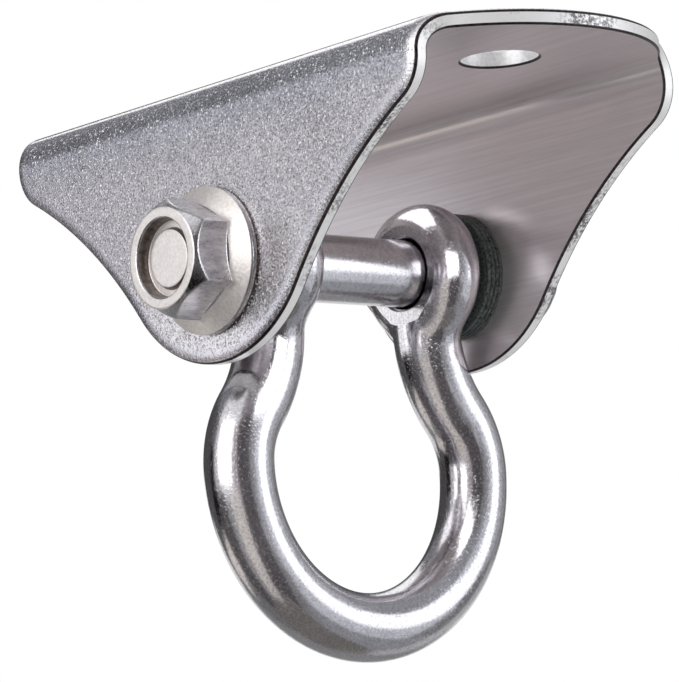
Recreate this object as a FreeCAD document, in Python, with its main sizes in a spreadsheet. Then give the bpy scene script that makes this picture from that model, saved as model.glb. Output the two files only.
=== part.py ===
import FreeCAD, Part
import math
import os

import Sketcher
from FreeCAD import Vector

# Swivel hanger: a folded sheet bracket that screws to a beam or ceiling, a bow shackle that swings
# in it, and the flange bolt that is the pivot pin.
# Millimetres. The origin is the centre of the bracket's mounting face, +Z is up,
# X runs along the pivot pin (bolt head at -X) and Y along the bracket.

SIZES = [
    # Bracket
    ("sheet_thickness", 2.5, "stainless sheet"),
    ("bend_radius", 3.0, "inside radius of the two folds"),
    ("channel_width", 51.0, "outside, over both cheeks"),
    ("cheek_length", 89.0, "along Y, at the folds"),
    ("end_bow", 10.5, "how far the plate's round ends reach past the cheeks"),
    ("end_radius", 28.5, "round ends of the plate"),
    ("end_fillet", 6.0, "hollow from a round end to the cheeks' ends"),
    ("shoulder_radius", 6.5, "upper corners of a cheek"),
    ("flank_radius", 75.0, "hollow slope of a cheek"),
    ("foot_radius", 21.5, "round lower edge of a cheek"),
    ("foot_rise", 7.0, "centre of that edge above the pivot"),
    ("pivot_drop", 26.5, "mounting face to pivot axis"),
    ("screw_hole", 11.0, "diameter of the mounting holes"),
    ("screw_spacing", 70.0, "between the mounting holes"),
    # Pivot bolt and lock nut
    ("pin_diameter", 10.0, "bolt shank"),
    ("hole_clearance", 0.25, "radial, shank in cheeks and spacers"),
    ("across_flats", 15.0, "hexagons of head and nut"),
    ("flange_diameter", 21.0, "flanges of head and nut"),
    ("flange_rim", 1.2, "straight rim of a flange"),
    ("flange_height", 3.0, "seat to the top of a flange's cone"),
    ("head_height", 8.8, "seat to the face of the head"),
    ("head_face", 14.3, "diameter of the head's flat face"),
    ("head_chamfer", 1.9, "drop from the face to the hexagon's corners"),
    ("recess_diameter", 11.3, "recess in the head"),
    ("recess_depth", 2.0, "recess in the head"),
    ("disc_diameter", 8.2, "low disc in the recess"),
    ("disc_rise", 0.7, "low disc in the recess"),
    ("nut_hex_height", 8.2, "seat to the top of the nut's hexagon"),
    ("nut_height", 12.0, "seat to the top of the nut's collar"),
    ("nut_chamfer", 0.9, "drop at the corners of the nut's hexagon"),
    ("collar_diameter", 14.0, "round collar that holds the nylon ring"),
    ("collar_lip", 0.8, "turned-in end of the collar"),
    ("insert_diameter", 12.4, "outside of the nylon ring"),
    ("insert_height", 2.6, "nylon ring"),
    ("thread_clearance", 0.05, "radial, bolt in nut and nylon ring"),
    ("tail_length", 2.5, "bolt end past the nut"),
    ("tail_chamfer", 1.0, "bolt end"),
    # Spacers
    ("spacer_thickness", 3.0, "ribbed washer between cheek and eye"),
    ("spacer_diameter", 19.0, "outside"),
    ("rib_count", 3, "grooves round a spacer"),
    ("rib_pitch", 0.8, "from groove to groove"),
    ("rib_width", 0.35, "width of a groove"),
    ("rib_depth", 0.35, "depth of a groove"),
    # Shackle
    ("bar_diameter", 10.0, "round bar"),
    ("eye_diameter", 21.2, "largest diameter of an eye"),
    ("eye_width", 8.6, "between the flat faces of an eye"),
    ("eye_crown", 3.4, "radial height of an eye's rounded edge"),
    ("eye_clearance", 0.3, "eye to spacer"),
    ("spot_margin", 0.5, "spot faces of an eye, past what they clear"),
    ("bore_clearance", 0.3, "radial, pin in the eyes"),
    ("bore_chamfer", 0.4, "mouths of the bores"),
    ("bow_radius", 22.75, "bow, to the middle of the bar"),
    ("bow_depth", 29.5, "pivot axis to the bow's centre"),
    ("bow_shoulder", 14.0, "radius above the bow, to the middle of the bar"),
    ("leg_flare", 20.0, "radius from leg to shoulder, to the middle of the bar"),
    # Cutting outlines reach this far past what they cut
    ("cut_margin", 4.0, "overrun of cuts"),
]

# Expressions that several sub-parts share
HALF_WIDTH = "(sizes.channel_width / 2)"
INNER_FACE = "(sizes.channel_width / 2 - sizes.sheet_thickness)"
OUTER_BEND = "(sizes.bend_radius + sizes.sheet_thickness)"
CHEEK_DROP = "(sizes.pivot_drop + sizes.foot_radius - sizes.foot_rise)"
PLATE_LENGTH = "(sizes.cheek_length + 2 * sizes.end_bow)"
PIN_RADIUS = "(sizes.pin_diameter / 2)"
FLANGE_RADIUS = "(sizes.flange_diameter / 2)"
FLAT_RADIUS = "(sizes.across_flats / 2)"
CORNER_RADIUS = "(sizes.across_flats / sqrt(3))"
HEAD_FACE_X = "(-sizes.channel_width / 2 - sizes.head_height)"
EYE_OUTER_X = "(sizes.channel_width / 2 - sizes.sheet_thickness - sizes.spacer_thickness - sizes.eye_clearance)"
EYE_INNER_X = "(" + EYE_OUTER_X + " - sizes.eye_width)"
EYE_CENTRE_X = "(" + EYE_OUTER_X + " - sizes.eye_width / 2)"
EYE_RADIUS = "(sizes.eye_diameter / 2)"
INSERT_END_X = "(sizes.channel_width / 2 + sizes.nut_height - sizes.collar_lip)"

# A sketch's own numbers for an edge's vertices and for its axes; the origin is the start of the X axis.
START, END, CENTRE = range(1, 4)
Y_AXIS, X_AXIS = range(-2, 0)
ORIGIN = X_AXIS

doc = FreeCAD.newDocument("swivel_hanger")
sheet = doc.addObject("Spreadsheet::Sheet", "sizes")
for row, (alias, size, note) in enumerate(SIZES, start=1):
    sheet.set("A%d" % row, str(size))
    sheet.setAlias("A%d" % row, alias)
    sheet.set("B%d" % row, note)
doc.recompute()


def value(expression):
    """Number that a sheet expression gives."""
    return float(sheet.evalExpression(expression.replace("sizes.", "")))


def new_body(label, x="0", z="0"):
    """Body named after its sub-part, with its own origin at sheet expressions x and z."""
    body = doc.addObject("PartDesign::Body", label)
    body.Label = label
    body.setExpression("Placement.Base.x", x)
    body.setExpression("Placement.Base.z", z)
    return body


def plane(body, role):
    """One of the body's own origin planes."""
    return next(item for item in body.Origin.OriginFeatures if item.Role == role)


def new_sketch(body, name, role, offset="0"):
    """Empty sketch on an origin plane, moved along the plane's normal by a sheet expression."""
    sketch = body.newObject("Sketcher::SketchObject", name)
    sketch.AttachmentSupport = [(plane(body, role), "")]
    sketch.MapMode = "FlatFace"
    sketch.setExpression("AttachmentOffset.Base.z", offset)
    return sketch


def bind(sketch, constraint, expression):
    """Add a dimension and tie it to the sheet."""
    index = sketch.addConstraint(constraint)
    name = "size_%d" % index
    sketch.renameConstraint(index, name)
    sketch.setExpression("Constraints." + name, expression)


def bind_point(sketch, edge, vertex, x, y):
    """Tie a point of the sketch to a pair of sheet expressions, measured from the sketch's origin."""
    for kind, axis, expression in (("DistanceX", Y_AXIS, x), ("DistanceY", X_AXIS, y)):
        if expression == "0":
            sketch.addConstraint(Sketcher.Constraint("PointOnObject", edge, vertex, axis))
        else:
            size = value(expression)
            bind(sketch, Sketcher.Constraint(kind, ORIGIN, START, edge, vertex, size), expression)


def minor_arc(start, end, radius, turn):
    """Arc of less than a half circle from start to end; turn is 1 anticlockwise, -1 clockwise."""
    chord = end - start
    rise = math.sqrt(radius ** 2 - chord.Length ** 2 / 4)
    normal = Vector(-chord.y, chord.x, 0).normalize()
    centre = (start + end) / 2 + normal * (rise * turn)
    middle = centre - normal * (radius * turn)
    return Part.Arc(start, middle, end)


def outline(body, name, role, corners, arcs=None, offset="0"):
    """Closed outline through corners, each a pair of sheet expressions.

    arcs turns the edge that leaves a corner into an arc: the corner's index gives its radius
    expression and its turn, 1 anticlockwise or -1 clockwise.
    """
    arcs = arcs or {}
    sketch = new_sketch(body, name, role, offset)
    points = [Vector(value(x), value(y), 0) for x, y in corners]
    tails = []
    for index, start in enumerate(points):
        end = points[(index + 1) % len(points)]
        if index in arcs:
            radius, turn = arcs[index]
            sketch.addGeometry(minor_arc(start, end, value(radius), turn))
            tails.append((START, END) if turn > 0 else (END, START))
        else:
            sketch.addGeometry(Part.LineSegment(start, end))
            tails.append((START, END))
    for index, (x, y) in enumerate(corners):
        before = index - 1 if index else len(corners) - 1
        sketch.addConstraint(Sketcher.Constraint("Coincident", before, tails[before][1], index, tails[index][0]))
        bind_point(sketch, index, tails[index][0], x, y)
    for index, (radius, turn) in arcs.items():
        bind(sketch, Sketcher.Constraint("Radius", index, value(radius)), radius)
    return sketch


def circle_sketch(body, name, role, circles, offset="0"):
    """Circles, each given by the sheet expressions of its centre and its diameter."""
    sketch = new_sketch(body, name, role, offset)
    for index, (x, y, diameter) in enumerate(circles):
        centre = Vector(value(x), value(y), 0)
        sketch.addGeometry(Part.Circle(centre, Vector(0, 0, 1), value(diameter) / 2))
        bind_point(sketch, index, CENTRE, x, y)
        bind(sketch, Sketcher.Constraint("Diameter", index, value(diameter)), diameter)
    return sketch


def hexagon(body, name, offset):
    """Hexagon across the pivot axis with flats towards +Y and -Y."""
    half = CORNER_RADIUS + " / 2"
    corners = [
        ("0", CORNER_RADIUS),
        ("-" + FLAT_RADIUS, half),
        ("-" + FLAT_RADIUS, "-" + half),
        ("0", "-" + CORNER_RADIUS),
        (FLAT_RADIUS, "-" + half),
        (FLAT_RADIUS, half),
    ]
    return outline(body, name, "YZ_Plane", corners, offset=offset)


def pad(body, name, sketch, length, side="One side", reverse=False):
    """Pad by a sheet expression."""
    feature = body.newObject("PartDesign::Pad", name)
    feature.Profile = sketch
    feature.SideType = side
    feature.Reversed = reverse
    feature.setExpression("Length", length)
    doc.recompute()
    return feature


def pocket_through(body, name, sketch):
    """Pocket through everything on both sides of its sketch."""
    feature = body.newObject("PartDesign::Pocket", name)
    feature.Profile = sketch
    feature.SideType = "Symmetric"
    feature.Type = "ThroughAll"
    doc.recompute()
    return feature


def turn(body, name, sketch, kind="Revolution"):
    """Full turn of a sketch on the XZ plane about the pivot axis."""
    feature = body.newObject("PartDesign::" + kind, name)
    feature.Profile = sketch
    feature.ReferenceAxis = (sketch, ["H_Axis"])
    feature.Angle = 360
    doc.recompute()
    return feature


def mirror(body, name, features, role):
    """Mirror features in one of the body's origin planes."""
    feature = body.newObject("PartDesign::Mirrored", name)
    feature.Originals = features
    feature.MirrorPlane = (plane(body, role), [""])
    body.Tip = feature
    doc.recompute()
    return feature


def flank_sketch(body):
    """What is cut away below the edge of a cheek, on its +Y half.

    The edge runs from the middle of the foot up a hollow flank to the shoulder, with tangent arcs.
    """
    sketch = new_sketch(body, "flank_outline", "YZ_Plane")
    foot_z = -value(CHEEK_DROP)
    below_z = foot_z - value("sizes.cut_margin")
    bend_z = -value(OUTER_BEND)
    end_y = value("sizes.cheek_length / 2")
    past_y = value(PLATE_LENGTH + " / 2 + sizes.cut_margin")
    foot_radius = value("sizes.foot_radius")
    shoulder_radius = value("sizes.shoulder_radius")
    flank_radius = value("sizes.flank_radius")

    # The flank's circle touches the foot's and the shoulder's from outside.
    foot_centre = Vector(0, foot_z + foot_radius, 0)
    shoulder_centre = Vector(end_y - shoulder_radius, bend_z, 0)
    apart = shoulder_centre - foot_centre
    to_foot = foot_radius + flank_radius
    to_shoulder = shoulder_radius + flank_radius
    along = (to_foot ** 2 - to_shoulder ** 2 + apart.Length ** 2) / (2 * apart.Length)
    across = math.sqrt(to_foot ** 2 - along ** 2)
    direction = Vector(apart).normalize()
    flank_centre = foot_centre + direction * along + Vector(direction.y, -direction.x, 0) * across

    def bearing(centre, point):
        return math.atan2(point.y - centre.y, point.x - centre.x)

    def arc(centre, radius, first, last):
        return Part.ArcOfCircle(Part.Circle(centre, Vector(0, 0, 1), radius), first, last)

    axis_foot = Vector(0, foot_z, 0)
    axis_below = Vector(0, below_z, 0)
    far_below = Vector(past_y, below_z, 0)
    far_bend = Vector(past_y, bend_z, 0)
    shoulder_top = Vector(end_y, bend_z, 0)
    down, out, along_bend, back = [
        sketch.addGeometry(Part.LineSegment(start, end))
        for start, end in (
            (axis_foot, axis_below), (axis_below, far_below), (far_below, far_bend), (far_bend, shoulder_top),
        )
    ]
    shoulder = sketch.addGeometry(
        arc(shoulder_centre, shoulder_radius, bearing(shoulder_centre, flank_centre), 0))
    flank = sketch.addGeometry(
        arc(flank_centre, flank_radius, bearing(flank_centre, shoulder_centre), bearing(flank_centre, foot_centre)))
    foot = sketch.addGeometry(
        arc(foot_centre, foot_radius, -math.pi / 2, bearing(foot_centre, flank_centre)))

    for rule in (
        ("Coincident", down, END, out, START),
        ("Coincident", out, END, along_bend, START),
        ("Coincident", along_bend, END, back, START),
        ("Coincident", back, END, shoulder, END),
        ("Tangent", shoulder, START, flank, START),
        ("Tangent", flank, END, foot, END),
        ("Coincident", foot, START, down, START),
        ("PointOnObject", down, START, Y_AXIS),
        ("PointOnObject", foot, CENTRE, Y_AXIS),
        ("Vertical", down),
        ("Horizontal", out),
        ("Vertical", along_bend),
        ("Horizontal", back),
        ("Horizontal", shoulder, CENTRE, shoulder, END),
    ):
        sketch.addConstraint(Sketcher.Constraint(*rule))
    for radius, edge, expression in (
        (shoulder_radius, shoulder, "sizes.shoulder_radius"),
        (flank_radius, flank, "sizes.flank_radius"),
        (foot_radius, foot, "sizes.foot_radius"),
    ):
        bind(sketch, Sketcher.Constraint("Radius", edge, radius), expression)
    for kind, edge, vertex, size, expression in (
        ("DistanceY", foot, CENTRE, foot_centre.y, "sizes.foot_rise - sizes.pivot_drop"),
        ("DistanceY", down, END, below_z, "-" + CHEEK_DROP + " - sizes.cut_margin"),
        ("DistanceX", out, END, past_y, PLATE_LENGTH + " / 2 + sizes.cut_margin"),
        ("DistanceY", back, END, bend_z, "-" + OUTER_BEND),
        ("DistanceX", back, END, end_y, "sizes.cheek_length / 2"),
    ):
        bind(sketch, Sketcher.Constraint(kind, ORIGIN, START, edge, vertex, size), expression)
    return sketch


def make_bracket():
    """One folded sheet: a channel, its cheeks and the ends of its plate cut to their outlines, and the holes."""
    body = new_body("bracket")
    edge = "(" + HALF_WIDTH + " - " + OUTER_BEND + ")"
    channel = outline(body, "channel_outline", "XZ_Plane", [
        ("-" + HALF_WIDTH, "-" + CHEEK_DROP),
        ("-" + HALF_WIDTH, "-" + OUTER_BEND),
        ("-" + edge, "0"),
        (edge, "0"),
        (HALF_WIDTH, "-" + OUTER_BEND),
        (HALF_WIDTH, "-" + CHEEK_DROP),
        (INNER_FACE, "-" + CHEEK_DROP),
        (INNER_FACE, "-" + OUTER_BEND),
        (edge, "-sizes.sheet_thickness"),
        ("-" + edge, "-sizes.sheet_thickness"),
        ("-" + INNER_FACE, "-" + OUTER_BEND),
        ("-" + INNER_FACE, "-" + CHEEK_DROP),
    ], arcs={
        1: (OUTER_BEND, -1),
        3: (OUTER_BEND, -1),
        7: ("sizes.bend_radius", 1),
        9: ("sizes.bend_radius", 1),
    })
    pad(body, "channel", channel, PLATE_LENGTH, side="Symmetric")

    flank = pocket_through(body, "flank", flank_sketch(body))
    mirror(body, "flanks", [flank], "XZ_Plane")

    side = "(" + HALF_WIDTH + " + sizes.cut_margin)"
    past = "(" + PLATE_LENGTH + " / 2 + sizes.cut_margin)"
    reach = "(sizes.end_radius + sizes.end_fillet)"
    fillet_x = "sqrt(sizes.end_bow * (2 * " + reach + " - sizes.end_bow))"
    touch_x = "(" + fillet_x + " * sizes.end_radius / " + reach + ")"
    touch_y = "(sizes.cheek_length / 2 + sizes.end_bow * sizes.end_fillet / " + reach + ")"
    end = outline(body, "end_outline", "XY_Plane", [
        ("-" + side, "sizes.cheek_length / 2"),
        ("-" + fillet_x, "sizes.cheek_length / 2"),
        ("-" + touch_x, touch_y),
        (touch_x, touch_y),
        (fillet_x, "sizes.cheek_length / 2"),
        (side, "sizes.cheek_length / 2"),
        (side, past),
        ("-" + side, past),
    ], arcs={
        1: ("sizes.end_fillet", 1),
        2: ("sizes.end_radius", -1),
        3: ("sizes.end_fillet", 1),
    })
    end_cut = pocket_through(body, "end_cut", end)
    mirror(body, "end_cuts", [end_cut], "XZ_Plane")

    screws = circle_sketch(body, "screw_circles", "XY_Plane", [
        ("0", "sizes.screw_spacing / 2", "sizes.screw_hole"),
        ("0", "-sizes.screw_spacing / 2", "sizes.screw_hole"),
    ])
    pocket_through(body, "screw_holes", screws)
    pivot = circle_sketch(body, "pivot_circle", "YZ_Plane", [
        ("0", "-sizes.pivot_drop", "sizes.pin_diameter + 2 * sizes.hole_clearance"),
    ])
    pocket_through(body, "pivot_holes", pivot)
    return body


def make_pivot_bolt():
    """Hex flange bolt: the shank is the swing pin, the head is chamfered and recessed."""
    body = new_body("pivot_bolt", z="-sizes.pivot_drop")
    seat = "-" + HALF_WIDTH
    tail = "(sizes.channel_width / 2 + sizes.nut_height + sizes.tail_length)"
    shank = outline(body, "shank_outline", "XZ_Plane", [
        (seat + " - sizes.flange_height", "0"),
        (seat + " - sizes.flange_height", FLAT_RADIUS),
        (seat + " - sizes.flange_rim", FLANGE_RADIUS),
        (seat, FLANGE_RADIUS),
        (seat, PIN_RADIUS),
        (tail + " - sizes.tail_chamfer", PIN_RADIUS),
        (tail, PIN_RADIUS + " - sizes.tail_chamfer"),
        (tail, "0"),
    ])
    turn(body, "shank", shank)
    head = hexagon(body, "head_hexagon", seat)
    pad(body, "head", head, "sizes.head_height", reverse=True)

    face_radius = "(sizes.head_face / 2)"
    outer = "(" + CORNER_RADIUS + " + sizes.hole_clearance)"
    slope = "(sizes.head_chamfer / (" + CORNER_RADIUS + " - " + face_radius + "))"
    chamfer = outline(body, "head_chamfer_outline", "XZ_Plane", [
        (HEAD_FACE_X, face_radius),
        (HEAD_FACE_X + " + " + slope + " * (" + outer + " - " + face_radius + ")", outer),
        (HEAD_FACE_X, outer),
    ])
    turn(body, "head_chamfer", chamfer, "Groove")

    floor = "(" + HEAD_FACE_X + " + sizes.recess_depth)"
    before = "(" + HEAD_FACE_X + " - sizes.cut_margin)"
    recess = outline(body, "recess_outline", "XZ_Plane", [
        (before, "0"),
        (floor + " - sizes.disc_rise", "0"),
        (floor + " - sizes.disc_rise", "sizes.disc_diameter / 2"),
        (floor, "sizes.disc_diameter / 2"),
        (floor, "sizes.recess_diameter / 2"),
        (before, "sizes.recess_diameter / 2"),
    ])
    turn(body, "recess", recess, "Groove")
    return body


def make_lock_nut():
    """Flange nut with a round collar that is turned in over the nylon ring."""
    body = new_body("lock_nut", z="-sizes.pivot_drop")
    seat = HALF_WIDTH
    collar_radius = "(sizes.collar_diameter / 2)"
    hex_end = "(" + seat + " + sizes.nut_hex_height)"
    nut_end = "(" + seat + " + sizes.nut_height)"
    insert_start = "(" + INSERT_END_X + " - sizes.insert_height)"
    bore = "(" + PIN_RADIUS + " + sizes.thread_clearance)"
    mouth = "(" + bore + " + sizes.collar_lip)"
    before = "(" + seat + " - sizes.cut_margin)"
    after = "(" + nut_end + " + sizes.cut_margin)"

    nut_hexagon = hexagon(body, "nut_hexagon", seat)
    pad(body, "nut_hex", nut_hexagon, "sizes.nut_hex_height")
    outer = "(" + CORNER_RADIUS + " + sizes.hole_clearance)"
    slope = "(sizes.nut_chamfer / (" + CORNER_RADIUS + " - " + FLAT_RADIUS + "))"
    chamfer = outline(body, "nut_chamfer_outline", "XZ_Plane", [
        (hex_end, FLAT_RADIUS),
        (hex_end, outer),
        (hex_end + " - " + slope + " * (" + outer + " - " + FLAT_RADIUS + ")", outer),
    ])
    turn(body, "nut_chamfer", chamfer, "Groove")

    flange = outline(body, "flange_outline", "XZ_Plane", [
        (seat, "0"),
        (seat, FLANGE_RADIUS),
        (seat + " + sizes.flange_rim", FLANGE_RADIUS),
        (seat + " + sizes.flange_height", FLAT_RADIUS),
        (seat + " + sizes.flange_height", "0"),
    ])
    turn(body, "flange", flange)
    collar = outline(body, "collar_outline", "XZ_Plane", [
        (seat, "0"),
        (seat, collar_radius),
        (nut_end + " - sizes.collar_lip", collar_radius),
        (nut_end, collar_radius + " - sizes.collar_lip"),
        (nut_end, "0"),
    ])
    turn(body, "collar", collar)
    bore_outline = outline(body, "bore_outline", "XZ_Plane", [
        (before, "0"),
        (before, bore),
        (insert_start, bore),
        (insert_start, "sizes.insert_diameter / 2"),
        (INSERT_END_X, "sizes.insert_diameter / 2"),
        (INSERT_END_X, mouth),
        (after, mouth),
        (after, "0"),
    ])
    turn(body, "bore", bore_outline, "Groove")
    return body


def make_nut_insert():
    """Nylon ring that grips the bolt's thread."""
    body = new_body("nut_insert", z="-sizes.pivot_drop")
    start = "(" + INSERT_END_X + " - sizes.insert_height)"
    inner = "(" + PIN_RADIUS + " + sizes.thread_clearance)"
    ring = outline(body, "ring_outline", "XZ_Plane", [
        (start, inner),
        (start, "sizes.insert_diameter / 2"),
        (INSERT_END_X, "sizes.insert_diameter / 2"),
        (INSERT_END_X, inner),
    ])
    turn(body, "ring", ring)
    return body


def make_spacer(label, x):
    """Washer with grooves round its rim; x is the sheet expression of its -X face."""
    body = new_body(label, x=x, z="-sizes.pivot_drop")
    inner = "(" + PIN_RADIUS + " + sizes.hole_clearance)"
    rim = "(sizes.spacer_diameter / 2)"
    washer = outline(body, "washer_outline", "XZ_Plane", [
        ("0", inner),
        ("0", rim),
        ("sizes.spacer_thickness", rim),
        ("sizes.spacer_thickness", inner),
    ])
    turn(body, "washer", washer)

    first = "(sizes.spacer_thickness / 2 - sizes.rib_pitch * (sizes.rib_count - 1) / 2)"
    groove_outline = outline(body, "groove_outline", "XZ_Plane", [
        (first, rim + " - sizes.rib_depth"),
        (first + " + sizes.rib_width / 2", rim + " + sizes.rib_depth"),
        (first + " - sizes.rib_width / 2", rim + " + sizes.rib_depth"),
    ])
    groove = turn(body, "groove", groove_outline, "Groove")
    grooves = body.newObject("PartDesign::LinearPattern", "grooves")
    grooves.Originals = [groove]
    grooves.Direction = (groove_outline, ["H_Axis"])
    grooves.setExpression("Length", "sizes.rib_pitch * (sizes.rib_count - 1)")
    grooves.setExpression("Occurrences", "sizes.rib_count")
    body.Tip = grooves
    doc.recompute()
    return body


def bow_path(body):
    """Middle line of the shackle's bar: legs, flares, shoulders and the bow, all tangent."""
    sketch = new_sketch(body, "bow_path", "XZ_Plane")
    leg_x = value(EYE_CENTRE_X)
    bow = value("sizes.bow_radius")
    shoulder = value("sizes.bow_shoulder")
    flare = value("sizes.leg_flare")
    bow_z = -value("sizes.bow_depth")

    # The flare's circle touches the leg's line and the shoulder's circle.
    reach = leg_x + flare - (bow - shoulder)
    flare_z = bow_z + math.sqrt((shoulder + flare) ** 2 - reach ** 2)
    swing = math.atan2(flare_z - bow_z, reach)

    def arc(x, z, radius, first, last):
        return Part.ArcOfCircle(Part.Circle(Vector(x, z, 0), Vector(0, 0, 1), radius), first, last)

    right_leg, right_flare, right_shoulder, bottom, left_shoulder, left_flare, left_leg = [
        sketch.addGeometry(edge)
        for edge in (
            Part.LineSegment(Vector(leg_x, 0, 0), Vector(leg_x, flare_z, 0)),
            arc(leg_x + flare, flare_z, flare, math.pi, math.pi + swing),
            arc(bow - shoulder, bow_z, shoulder, 0, swing),
            arc(0, bow_z, bow, math.pi, 2 * math.pi),
            arc(shoulder - bow, bow_z, shoulder, math.pi - swing, math.pi),
            arc(-leg_x - flare, flare_z, flare, -swing, 0),
            Part.LineSegment(Vector(-leg_x, flare_z, 0), Vector(-leg_x, 0, 0)),
        )
    ]
    for rule in (
        ("Tangent", right_leg, END, right_flare, START),
        ("Tangent", right_flare, END, right_shoulder, END),
        ("Tangent", right_shoulder, START, bottom, END),
        ("Tangent", bottom, START, left_shoulder, END),
        ("Tangent", left_shoulder, START, left_flare, START),
        ("Tangent", left_flare, END, left_leg, START),
        ("Vertical", right_leg),
        ("Vertical", left_leg),
        ("PointOnObject", right_leg, START, X_AXIS),
        ("PointOnObject", left_leg, END, X_AXIS),
        ("PointOnObject", bottom, CENTRE, Y_AXIS),
        ("Horizontal", bottom, CENTRE, bottom, START),
        ("Horizontal", bottom, CENTRE, bottom, END),
    ):
        sketch.addConstraint(Sketcher.Constraint(*rule))
    for edge, radius, expression in (
        (right_flare, flare, "sizes.leg_flare"),
        (left_flare, flare, "sizes.leg_flare"),
        (right_shoulder, shoulder, "sizes.bow_shoulder"),
        (left_shoulder, shoulder, "sizes.bow_shoulder"),
        (bottom, bow, "sizes.bow_radius"),
    ):
        bind(sketch, Sketcher.Constraint("Radius", edge, radius), expression)
    bind(sketch, Sketcher.Constraint("DistanceX", ORIGIN, START, right_leg, START, leg_x), EYE_CENTRE_X)
    bind(sketch, Sketcher.Constraint("DistanceX", left_leg, END, ORIGIN, START, leg_x), EYE_CENTRE_X)
    bind(sketch, Sketcher.Constraint("DistanceY", bottom, CENTRE, ORIGIN, START, -bow_z), "sizes.bow_depth")
    return sketch


def make_shackle():
    """Forged bow: a bent bar with a rounded eye at each end, faced and bored for the pin."""
    body = new_body("shackle", z="-sizes.pivot_drop")
    path = bow_path(body)
    section = circle_sketch(body, "bar_circle", "XY_Plane", [(EYE_CENTRE_X, "0", "sizes.bar_diameter")])
    doc.recompute()
    bar = body.newObject("PartDesign::AdditivePipe", "bar")
    bar.Profile = section
    bar.Spine = (path, [""])
    doc.recompute()

    half_width = "(sizes.eye_width / 2)"
    face_radius = "(" + EYE_RADIUS + " - sizes.eye_crown)"
    crown_radius = "((" + half_width + " ^ 2 + sizes.eye_crown ^ 2) / (2 * sizes.eye_crown))"
    eye_outline = outline(body, "eye_outline", "XZ_Plane", [
        (EYE_INNER_X, "0"),
        (EYE_INNER_X, face_radius),
        (EYE_OUTER_X, face_radius),
        (EYE_OUTER_X, "0"),
    ], arcs={1: (crown_radius, -1)})
    eye = turn(body, "eye", eye_outline)
    mirror(body, "eyes", [eye], "YZ_Plane")

    # The bar is wider than the eyes, so it is faced off round the pin: to the eye's own face inside,
    # and wide enough for the spacer outside.
    inner_spot = outline(body, "inner_spot_outline", "XZ_Plane", [
        (EYE_INNER_X + " - sizes.cut_margin", "0"),
        (EYE_INNER_X, "0"),
        (EYE_INNER_X, face_radius + " + sizes.spot_margin"),
        (EYE_INNER_X + " - sizes.cut_margin", face_radius + " + sizes.spot_margin"),
    ])
    inner_face = turn(body, "inner_spot", inner_spot, "Groove")
    outer_spot_radius = "(sizes.spacer_diameter / 2 + sizes.spot_margin)"
    outer_spot = outline(body, "outer_spot_outline", "XZ_Plane", [
        (EYE_OUTER_X, "0"),
        (EYE_OUTER_X + " + sizes.cut_margin", "0"),
        (EYE_OUTER_X + " + sizes.cut_margin", outer_spot_radius),
        (EYE_OUTER_X, outer_spot_radius),
    ])
    outer_face = turn(body, "outer_spot", outer_spot, "Groove")
    mirror(body, "spots", [inner_face, outer_face], "YZ_Plane")

    bore_radius = "(" + PIN_RADIUS + " + sizes.bore_clearance)"
    through = "(" + EYE_OUTER_X + " + sizes.cut_margin)"
    bore_outline = outline(body, "bore_outline", "XZ_Plane", [
        ("-" + through, "0"),
        (through, "0"),
        (through, bore_radius),
        ("-" + through, bore_radius),
    ])
    bore = turn(body, "bore", bore_outline, "Groove")
    mouths = [
        "Edge%d" % number
        for number, edge in enumerate(bore.Shape.Edges, start=1)
        if isinstance(edge.Curve, Part.Circle) and abs(edge.Curve.Radius - value(bore_radius)) < 1e-6
    ]
    chamfer = body.newObject("PartDesign::Chamfer", "bore_mouths")
    chamfer.Base = (bore, mouths)
    chamfer.setExpression("Size", "sizes.bore_chamfer")
    doc.recompute()
    return body


bodies = [
    make_bracket(),
    make_pivot_bolt(),
    make_lock_nut(),
    make_nut_insert(),
    make_spacer("spacer_head_side", "-" + INNER_FACE),
    make_spacer("spacer_nut_side", INNER_FACE + " - sizes.spacer_thickness"),
    make_shackle(),
]
doc.recompute()

for item in doc.Objects:
    if "Invalid" in item.State or "Error" in item.State:
        raise RuntimeError("%s failed: %s" % (item.Name, item.State))
for body in bodies:
    if body.Shape.isNull() or not body.Shape.isValid() or len(body.Shape.Solids) != 1:
        raise RuntimeError("%s is not one valid solid" % body.Label)

os.makedirs("parts", exist_ok=True)
for body in bodies:
    body.Shape.exportStep("parts/%s.step" % body.Label)
    box = body.Shape.BoundBox
    print("%-18s volume %9.1f  x %7.2f %7.2f  y %7.2f %7.2f  z %7.2f %7.2f" % (
        body.Label, body.Shape.Volume, box.XMin, box.XMax, box.YMin, box.YMax, box.ZMin, box.ZMax))
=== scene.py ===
import math

import bmesh
import bpy
import numpy as np
from mathutils import Matrix, Vector
from mathutils.geometry import delaunay_2d_cdt


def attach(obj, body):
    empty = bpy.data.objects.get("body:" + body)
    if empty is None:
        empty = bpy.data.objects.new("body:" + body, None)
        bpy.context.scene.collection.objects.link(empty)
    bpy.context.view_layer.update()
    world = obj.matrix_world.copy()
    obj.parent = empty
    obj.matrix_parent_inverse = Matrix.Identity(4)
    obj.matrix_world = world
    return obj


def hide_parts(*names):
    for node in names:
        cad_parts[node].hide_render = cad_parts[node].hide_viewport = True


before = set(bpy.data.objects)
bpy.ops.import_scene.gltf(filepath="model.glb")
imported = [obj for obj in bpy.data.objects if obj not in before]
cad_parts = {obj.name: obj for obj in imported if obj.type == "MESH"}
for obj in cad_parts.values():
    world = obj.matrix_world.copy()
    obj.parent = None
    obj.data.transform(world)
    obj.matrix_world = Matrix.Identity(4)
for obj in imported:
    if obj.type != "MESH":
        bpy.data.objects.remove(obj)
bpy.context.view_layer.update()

# Swivel hanger: a folded sheet bracket, a bow shackle that swings in it on a flange bolt, a lock nut
# with a nylon ring, and two ribbed spacers. Sizes are in millimetres, in the frame of the CAD model,
# and become metres when a mesh is made.

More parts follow.
